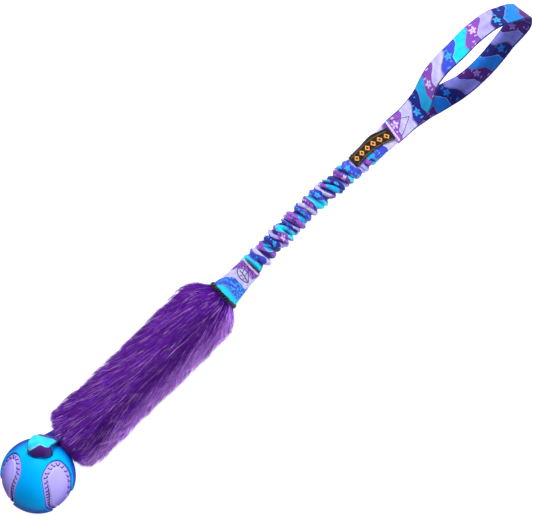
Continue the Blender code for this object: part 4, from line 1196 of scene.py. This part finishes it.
def sleeve_surface(x, a):
    """Point on the cloth, and its place between valley (0) and crest (1)."""
    x, a = np.broadcast_arrays(np.asarray(x, float), a)
    hw, hh, cz, power, gather = (table_at(x, SLEEVE, k) for k in (1, 2, 3, 4, 5))
    y0 = table_at(x, MID_Y, 1)
    # flat under the label, and a little narrower on its side
    gather = gather * (1 - 0.95 * smooth(x, 366.0, 375.0) * smooth(np.cos(a), -0.55, -0.28) * smooth(np.sin(a), -0.5, 0.0))
    hw = hw * (1 - 0.13 * smooth(x, 372.0, 386.0) * smooth(x, 413.0, 402.0) * smooth(np.cos(a), 0.0, 0.5))
    best = np.zeros_like(x)
    lean = np.zeros_like(x)
    near = np.zeros_like(x)
    for r in ridges:
        centre = (
            r["x"] + float(smooth(r["x"], 250.0, 268.0)) * (
                -1.7 * np.cos(a) - r["tilt"] * np.cos(a - r["tilt_at"]) + r["s2"] * np.sin(2 * a + r["s2_at"]) + r["s3"] * np.sin(3 * a + r["s3_at"])
            )
        )
        half = r["half"] * (1.0 + r["wide"] * np.cos(a - r["wide_at"])) + 0.12
        u = (x - centre) / half
        amp = r["amp"] * (1 - r["fade"] * 0.5 * (1 + np.cos(a - r["fade_at"])))
        swell = np.clip(1 - np.abs(u) ** r["sharp"], 0, 1) ** 0.62 * amp
        better = swell > best
        near = np.where(better, best, np.maximum(near, swell))
        lean = np.where(better, r["lean"] * amp, lean)
        best = np.where(better, swell, best)
    crease = np.abs(np.sin(x * 2.1 + 1.7 * np.sin(a * 2.0) + 1.2 * np.sin(3 * a + x * 0.21))) ** 3
    ripple = (
        0.20 * np.sin(9 * a + x * 0.7) + 0.14 * np.sin(14 * a - x * 1.3 + 2.0) + 0.12 * np.sin(23 * a + x * 1.9)
        - 0.34 * crease
    )
    rise = gather * (4.15 * best + ripple * best)
    flat = 1 - smooth(gather, 0.0, 0.8)
    wrinkle = flat * (0.10 * np.sin(3 * a + x * 0.35) + 0.08 * np.sin(5 * a - x * 0.6 + 1.0)) * smooth(x, 218, 226)
    # pleats that run out of the gathers into the flat ends
    pleat_lo = np.exp(-(((x - 251.0) / 6.0) ** 2)) * smooth(x, 236, 246) * 0.28 * np.sin(9 * a + 0.4)
    pleat_hi = np.exp(-(((x - 377.0) / 11.0) ** 2)) * smooth(x, 406, 384) * 0.30 * np.sin(6 * a + 0.5 * np.sin(x * 0.3))
    c = np.sign(np.cos(a)) * np.abs(np.cos(a)) ** (2 / power)
    s = np.sign(np.sin(a)) * np.abs(np.sin(a)) ** (2 / power)
    out = unit(np.stack([np.zeros_like(x), np.cos(a) / hw * 10, np.sin(a) / hh * 10], -1))
    grow = rise + wrinkle + pleat_lo + pleat_hi
    point = np.stack([x + gather * lean * best**2, y0 + c * hw, cz + s * hh], -1) + out * grow[..., None]
    point[..., 2] = np.maximum(point[..., 2], 0.18)
    fold = np.where(gather > 0.02, 1 - smooth(gather, 0.0, 0.5) * (1 - best), 1.0)
    return point, fold


# The cloth coordinate along the sleeve: its length over the folds, with some more hidden in each fold.
lay_x = np.arange(200.0, 421.0, 0.25)
lay_a = np.linspace(-0.5 * np.pi, 1.5 * np.pi, 97)
lay_p, lay_fold = sleeve_surface(lay_x[:, None], lay_a[None])
lay_step = np.linalg.norm(np.diff(lay_p, axis=0), axis=2)
hidden = 6.0 * smooth(lay_fold[1:], 0.60, 0.10) * 0.25
per_column = np.concatenate([np.zeros((1, 97)), np.cumsum(lay_step + hidden, 0)])
shared = per_column.mean(1, keepdims=True)
drift = per_column - shared
window = np.ones(73) / 73
padded = np.pad(drift, ((36, 36), (0, 0)), mode="edge")
slow = np.stack([np.convolve(padded[:, k], window, mode="valid") for k in range(97)], 1)
lay_cloth = 200.0 + shared + (drift - slow)
lay_cloth[:, -1] = lay_cloth[:, 0]
lay_start = float(np.interp(253.0, lay_x, shared[:, 0])) + 200.0
print("cloth per mm of gathers", (np.interp(372.0, lay_x, shared[:, 0]) - np.interp(253.0, lay_x, shared[:, 0])) / 119.0)


sleeve_print = printed(
    "sleeve_print", 13.4, SLEEVE_COLOURS, first=lay_start - 3.0, slant=-0.12, zig=1.4, half_wave=12.0, roughness=0.46, weave=0.7,
    painted_fold_shade=True, sheen=0.08, line=1.35,
)


def cloth_at(x, a):
    i = np.clip((x - 200.0) / 0.25, 0, len(lay_x) - 1.001)
    j = np.clip((a + 0.5 * np.pi) / (2 * np.pi) * 96, 0, 95.999)
    i0, j0 = i.astype(int), j.astype(int)
    fi, fj = i - i0, j - j0
    return (
        lay_cloth[i0, j0] * (1 - fi) * (1 - fj) + lay_cloth[i0 + 1, j0] * fi * (1 - fj)
        + lay_cloth[i0, j0 + 1] * (1 - fi) * fj + lay_cloth[i0 + 1, j0 + 1] * fi * fj
    )


def sleeve_piece(name, x0, x1, step, around, mat, along):
    xs = np.linspace(x0, x1, int(round((x1 - x0) / step)) + 1)
    a = np.linspace(0, 2 * np.pi, around, endpoint=False) - 0.5 * np.pi
    P, fold = sleeve_surface(xs[:, None], a[None])
    a_uv = np.append(a, a[0] + 2 * np.pi)
    U = along(np.repeat(xs[:, None], around + 1, 1), np.repeat(a_uv[None], len(xs), 0))
    V = np.repeat(np.linspace(-32, 32, around + 1)[None], len(xs), 0)
    b = Build()
    b.grid(P, np.stack([U, V], -1), cyclic=True)
    obj = b.mesh(name, [mat])
    # the place between valley and crest, which the sleeve print uses for its painted shade in the valleys
    layer = obj.data.attributes.new("fold", "FLOAT", "POINT")
    layer.data.foreach_set("value", fold.astype(np.float32).ravel())
    mid_line = np.stack([xs, table_at(xs, MID_Y, 1), table_at(xs, SLEEVE, 3)], 1)

    def centre(points):
        out = points.copy()
        mm = points[:, 0] * 1000 + SHIFT_X
        out[:, 1] = np.interp(mm, mid_line[:, 0], mid_line[:, 1]) / 1000
        out[:, 2] = np.interp(mm, mid_line[:, 0], mid_line[:, 2]) / 1000
        return out

    outward(obj, centre)
    solid = obj.modifiers.new("cloth", "SOLIDIFY")
    solid.thickness = 0.00035
    solid.offset = -1.0
    bpy.context.view_layer.update()
    graph = bpy.context.evaluated_depsgraph_get()
    mesh = bpy.data.meshes.new_from_object(obj.evaluated_get(graph))
    obj.modifiers.clear()
    old_mesh = obj.data
    obj.data = mesh
    bpy.data.meshes.remove(old_mesh)
    mesh.name = name
    return obj


part_a = sleeve_piece("sleeve_flat_end", 206.0, 250.6, 0.6, 88, flat_print, lambda x, a: x)
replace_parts(part_a, "sleeve_lower_end")
tuple(to_row((217.5, 0, 12.5)))
tuple(to_row((225.5, 0, 12.5)))
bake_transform(part_a)
part_b = sleeve_piece("sleeve_gathers_low", 250.6, 300.0, 0.30, 128, sleeve_print, cloth_at)
tuple(to_row((251.5, 0, 11)))
tuple(to_row((290, 0, 11)))
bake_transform(part_b)
part_c = sleeve_piece("sleeve_gathers_high", 300.0, 420.0, 0.30, 120, sleeve_print, cloth_at)
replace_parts(part_c, "bungee_sleeve", "sleeve_upper_end")
tuple(to_row((302, 0, 11)))
tuple(to_row((371, 0, 11)))
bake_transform(part_c)

# ---------------------------------------------------------------- binding at the mouth of the plush
mouth = Build()
a = np.linspace(0, 2 * np.pi, 97)[:-1]
c, s = superellipse(a, 2.8)
rows = []
for x, grow in ((215.2, -1.6), (215.6, 0.0), (216.2, 0.45), (216.9, 0.6), (217.5, 0.4), (218.0, 0.0), (218.4, -0.8)):
    w, h, z = 13.2 + grow, 4.1 + grow, table_at(x, SLEEVE, 3)
    rows.append(np.stack([np.full(96, x), table_at(x, MID_Y, 1) + c * w, z + s * h], 1))
mouth.grid(np.array(rows), cyclic=True, caps=True)
mouth_band = mouth.mesh("mouth_binding", [binding])
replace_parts(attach(mouth_band, "plush"), "neck_band")
lock = Build()
turns = 46
for k in range(turns):
    a0 = 2 * np.pi * k / turns
    run = []
    for q in np.linspace(0, 1, 7):
        ang = a0 + q * 0.9 * 2 * np.pi / turns
        cc, ss = superellipse(np.array(ang), 2.8)
        x = 215.2 + 3.7 * q + 0.6 * math.sin(k * 1.7)
        lift = 1.05 * math.sin(math.pi * min(q * 1.15, 1.0)) + 0.15
        w, h = 13.25 + lift, 4.15 + lift
        run.append((x, table_at(x, MID_Y, 1) + cc * w, table_at(x, SLEEVE, 3) + ss * h))
    tube(lock, run, 0.36, 6)
overlock = lock.mesh("mouth_stitches", [black_thread])
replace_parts(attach(overlock, "plush"), "neck_stitching")

# ---------------------------------------------------------------- stitching on the flat lower end
def on_sleeve(x, y):
    """The top of the cloth at x and at y from its middle, and its normal there."""
    x = np.asarray(x, float)
    hw, power = table_at(x, SLEEVE, 1), table_at(x, SLEEVE, 4)
    cosine = np.clip(np.abs(y) / hw, 0, 0.999) ** (power / 2) * np.sign(y)
    ang = np.arccos(cosine)
    p, _ = sleeve_surface(x, ang)
    p2, _ = sleeve_surface(x + 0.2, ang)
    p3, _ = sleeve_surface(x, ang - 0.02)
    n = unit(np.cross(p2 - p, p3 - p))
    n = np.where(n[..., 2:3] < 0, -n, n)
    return p, n


TIP, STEM = np.array((241.6, 7.0)), np.array((239.4, -7.4))
grown = STEM - TIP
across = unit(np.array((-grown[1], grown[0])))
q = np.linspace(0, 1, 34)
bow = np.sin(np.pi * q)
spine = TIP + grown * q[:, None] + across * (0.8 * bow)[:, None]
swell = np.sin(np.pi * q**0.85) ** 0.8
sides = [spine + across * (k * 4.0 * swell)[:, None] for k in (1, -1)]
b = Build()
for run in sides + [spine[4:]]:
    p, n = on_sleeve(run[:, 0], run[:, 1])
    stitch_run(b, p, n, 1.7, 0.40, 0.06, fill=0.94)
for at, k in ((9, 1), (13, -1), (17, 1), (21, -1)):
    run = np.array([spine[at + 3] * (1 - w) + (spine[at] + across * k * 4.0 * swell[at] * 0.8) * w for w in np.linspace(0, 1, 10)])
    p, n = on_sleeve(run[:, 0], run[:, 1])
    stitch_run(b, p, n, 1.2, 0.30, 0.06, fill=0.94)
line = b.mesh("leaf_stitching", [dark_thread])
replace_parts(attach(line, "neck"), "lower_stitching")
b = Build()
for row_x, pitch in ((249.6, 1.5), (250.5, 1.5)):
    ys = np.linspace(-9.3, 9.3, 60)
    p, n = on_sleeve(np.full(60, row_x), ys)
    stitch_run(b, p, n, pitch, 0.34, 0.14, fill=1.0)
line = b.mesh("gather_stitching", [pale_thread])
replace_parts(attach(line, "neck"), "lower_bar_tack")

# ---------------------------------------------------------------- the label
def label_finish():
    s = Shade("label_black", 0.6, Sheen_Weight=0.03)
    s.shader.inputs["Specular IOR Level"].default_value = 0.15
    u, v, uv = s.uv()
    # plain woven trim: two thin lines and a chain of small diamonds
    edge = s.math("ABSOLUTE", s.math("SUBTRACT", s.math("ABSOLUTE", s.math("SUBTRACT", v, 5.4)), 4.2))
    lines = s.span(edge, 0.05, 0.22, 0.5, 0.0)
    cell = s.math("SUBTRACT", s.math("FLOORED_MODULO", s.math("SUBTRACT", u, 1.9), 6.2), 3.1)
    shape = s.math(
        "ADD",
        s.math("DIVIDE", s.math("ABSOLUTE", cell), 2.4),
        s.math("DIVIDE", s.math("ABSOLUTE", s.math("SUBTRACT", v, 5.4)), 2.9),
    )
    hollow = s.math("MULTIPLY", s.span(shape, 0.95, 1.05, 1.0, 0.0), s.span(shape, 0.42, 0.52, 0.0, 1.0))
    ends = s.math("MULTIPLY", s.span(u, 2.0, 2.3), s.span(u, 38.5, 38.8, 1.0, 0.0))
    drawn = s.math("MULTIPLY", s.math("MAXIMUM", lines, hollow), ends)
    weave = s.math(
        "MULTIPLY",
        s.math("SINE", s.math("MULTIPLY", u, 2 * math.pi / 0.45)),
        s.math("SINE", s.math("MULTIPLY", v, 2 * math.pi / 0.45)),
    )
    ground = s.mix(s.span(weave, -1, 1), (0.003, 0.003, 0.003), (0.016, 0.015, 0.014))
    orange = s.mix(s.span(weave, -1, 1), (0.62, 0.20, 0.02), (0.95, 0.42, 0.08))
    colour = s.mix(drawn, ground, orange)
    return s.done(colour, None, s.bump(s.math("ADD", weave, drawn), 0.4, 0.0002))


label_cloth = label_finish()
LABEL_X0, LABEL_X1 = 372.8, 413.8
LABEL_EDGES = [(370.0, -2.4, 8.0), (378.0, -1.9, 9.6), (387.0, -1.5, 10.4), (396.0, -2.0, 10.0), (404.0, -3.6, 8.4), (411.0, -5.5, 6.4), (416.0, -6.8, 4.9)]
xs = np.linspace(LABEL_X0, LABEL_X1, 70)
outer, inner = [], []
for x in xs:
    hw, hh, cz, power = (float(table_at(x, SLEEVE, k)) for k in (1, 2, 3, 4))
    y0 = float(table_at(x, MID_Y, 1))
    lift = 0.75 + 0.12 * math.sin(x * 0.45) + 0.35 * float(smooth(x, 378, 373))
    narrow = hw * (1 - 0.13 * float(smooth(x, 372.0, 386.0) * smooth(x, 413.0, 402.0)))
    near_y, far_y = float(table_at(x, LABEL_EDGES, 1)), float(table_at(x, LABEL_EDGES, 2))
    start = math.acos(max(-1.0, min(1.0, -abs(near_y / (hw + lift)) ** (power / 2))))
    end = math.acos(min(1.0, abs(far_y / (narrow + lift + 0.55)) ** (power / 2)))
    end = end - math.radians(22.0) * float(smooth(end, 0.9, 0.2))
    angles = np.linspace(start, end, 60)
    c, s = superellipse(angles, power)
    wide = np.where(c > 0, hw + (narrow - hw) * smooth(np.cos(angles), 0.0, 0.5), hw)
    for store, t in ((outer, 0.55), (inner, 0.0)):
        q = np.stack([np.full(60, x), y0 + c * (wide + lift + t), cz + s * (hh + lift + t)], 1)
        q[:, 2] = np.maximum(q[:, 2], 0.3)
        store.append(q)
outer, inner = np.array(outer), np.array(inner)
arc = np.concatenate([np.zeros((len(xs), 1)), np.cumsum(np.linalg.norm(np.diff(outer, axis=1), axis=2), 1)], 1)
UV = np.stack([np.repeat((xs - LABEL_X0)[:, None], 60, 1), arc], -1)
b = Build()
ring = np.concatenate([outer, inner[:, ::-1]], 1)
ring_uv = np.concatenate([UV, UV[:, ::-1], UV[:, :1]], 1)
b.grid(ring, ring_uv, cyclic=True, caps=True)
label = b.mesh("label_cloth", [label_cloth], sharp=50)
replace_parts(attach(label, "handle_foot"), "label")
b = Build()
top = outer[:, 3]
n = unit(np.cross(outer[:, 4] - outer[:, 2], np.gradient(outer[:, 3], axis=0)))
n = np.where(n[:, 2:3] < 0, -n, n)
stitch_run(b, top[2:-3], n[2:-3], 1.7, 0.17, 0.02)
line = b.mesh("label_hem_stitches", [dark_thread])
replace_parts(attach(line, "handle_foot"), "label_stitching")

# ---------------------------------------------------------------- the handle: one length of webbing
BASE_Z, PLY, HALF_T = 11.3, 2.3, 0.85
HALF_LOOP = [
    (440.0, 2.3), (445.0, 3.4), (451.5, 7.4), (460.0, 12.2), (470.0, 16.0), (480.0, 18.4), (492.0, 20.2), (505.0, 21.3),
    (517.0, 21.6), (530.0, 20.0), (542.0, 16.6), (552.0, 12.0), (560.6, 6.8), (565.65, 0.0),
]


half = catmull([(414.0, 2.3), (427.0, 2.3)] + HALF_LOOP, 6)
both = np.concatenate([half, half[-2::-1] * (1, -1)])
xs_, ss_ = both[:, 0], both[:, 1]
lower = np.arange(len(xs_)) >= len(half)
tilt = np.radians(38.0 - 4.0 * smooth(xs_, 480.0, 505.0)) * np.where(lower, smooth(xs_, 438.0, 506.0), smooth(xs_, 437.0, 473.0))
y_mid = np.where(xs_ < 440, table_at(xs_, MID_Y, 1) - 0.2 * smooth(xs_, 440, 430), 0.8 + 1.1 * smooth(xs_, 440.0, 520.0))
APART = [(414, 0.0), (430, 0.0), (445, -2.0), (460, -4.0), (474, -3.8), (490, -2.8), (505, -2.0), (520, -1.2), (548, 0.0), (566, 0.0)]
y_mid = y_mid + np.where(lower, table_at(xs_, APART, 1), 1.2 * smooth(xs_, 430.0, 448.0) * smooth(xs_, 500.0, 458.0))
z_mid = BASE_Z + 13.3 * smooth(xs_, 438.0, 484.0)
path = np.stack([xs_, y_mid + ss_ * np.sin(tilt), z_mid + ss_ * np.cos(tilt)], 1)
width = np.stack([np.zeros_like(tilt), np.cos(tilt), -np.sin(tilt)], 1)
path, s_len, width = resample(path, 0.8, width)
b = Build()
ribbon(
    b, path, width, 10.8, HALF_T, cross=26,
    wavy=lambda s, v: (0.10 * np.sin(s * 0.21 + v * 0.3)) * smooth(s, 26, 60) * smooth(s, s_len[-1] - 26, s_len[-1] - 60),
)
webbing = b.mesh("handle_webbing", [webbing_print], sharp=60)


def skewed(points):
    """The folded end lies a few degrees off square to the webbing."""
    points = np.array(points, float)
    off = points[:, 1] - table_at(points[:, 0], MID_Y, 1)
    points[:, 0] += 0.14 * off * smooth(points[:, 0], 434.0, 418.0)
    return points


def leaning_tip(points):
    """The bend at the loop's tip lies a little askew, its upper corner drawn back."""
    near = smooth(points[:, 0], 534.0, 563.0)
    off = points[:, 1] - 1.9
    points[:, 0] -= near * (2.0 + 0.15 * off)
    points[:, 1] -= near * (2.9 - 0.12 * off)
    return points


coords = np.empty(len(webbing.data.vertices) * 3)
webbing.data.vertices.foreach_get("co", coords)
coords = coords.reshape(-1, 3) * 1000 + np.array((SHIFT_X, 0.0, 0.0))
webbing.data.vertices.foreach_set("co", to_row(leaning_tip(skewed(coords))).astype(np.float32).ravel())
webbing.data.update()
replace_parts(webbing, "handle_base_top", "handle_base_bottom", "handle_loop")
tuple(to_row((436.0, 0, 11.3)))
tuple(to_row((446.0, 0, 11.3)))
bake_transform(webbing)

TOP_Z = BASE_Z + PLY + HALF_T
b = Build()
CORNERS = [(419.0, 8.4), (434.4, 0.2), (419.8, -8.0), (419.0, 8.4)]
corner_path = np.array([(x, float(table_at(x, MID_Y, 1)) + y, TOP_Z) for x, y in CORNERS])
corner_path, _ = resample(corner_path, 0.5)
stitch_run(b, skewed(corner_path), np.repeat(Z_DIR[None], len(corner_path), 0), 2.1, 0.30, 0.06, fill=0.92)
line = b.mesh("triangle_stitching", [dark_thread])
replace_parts(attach(line, "handle_foot"), "handle_stitching")
b = Build()
for x, pitch in ((415.0, 1.4), (415.9, 1.4)):
    run = np.array([(x, float(table_at(x, MID_Y, 1)) + y, TOP_Z) for y in np.linspace(-9.9, 9.9, 50)])
    stitch_run(b, skewed(run), np.repeat(Z_DIR[None], 50, 0), pitch, 0.40, 0.18, fill=1.0)
line = b.mesh("fold_stitching", [pale_thread])
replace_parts(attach(line, "handle_foot"), "upper_bar_tack")

# ---------------------------------------------------------------- inner pieces that stay as they are
inner_latex = rubber("latex_rod", (0.72, 0.62, 0.42), (0.64, 0.54, 0.34), 0.45)


def braid_finish():
    s = Shade("braided_cover", 0.8)
    x, y, z = 0, 0, 0
    n = s.noise(s.place(), 1500.0, 2.0)
    return s.done(s.mix(n, (0.03, 0.03, 0.04), (0.09, 0.09, 0.11)), None, s.bump(n, 0.6, 0.0003))


braid = braid_finish()


def webbing_inside():
    s = Shade("strap_inside", 0.65)
    n = s.noise(s.place(), 700.0, 2.0)
    return s.done(s.mix(n, (0.02, 0.10, 0.5), (0.06, 0.2, 0.7)), None, s.bump(n, 0.5, 0.0003))


inside = webbing_inside()
for node, mat in (
    ("core_strap", inside), ("strap_bar_tack", dark_thread), ("bungee_jacket", braid), ("bungee_core", inner_latex),
):
    obj = frame["nodes"][node]
    for k in range(len(obj.material_slots)):
        obj.material_slots[k].material = mat

bpy.context.view_layer.update()
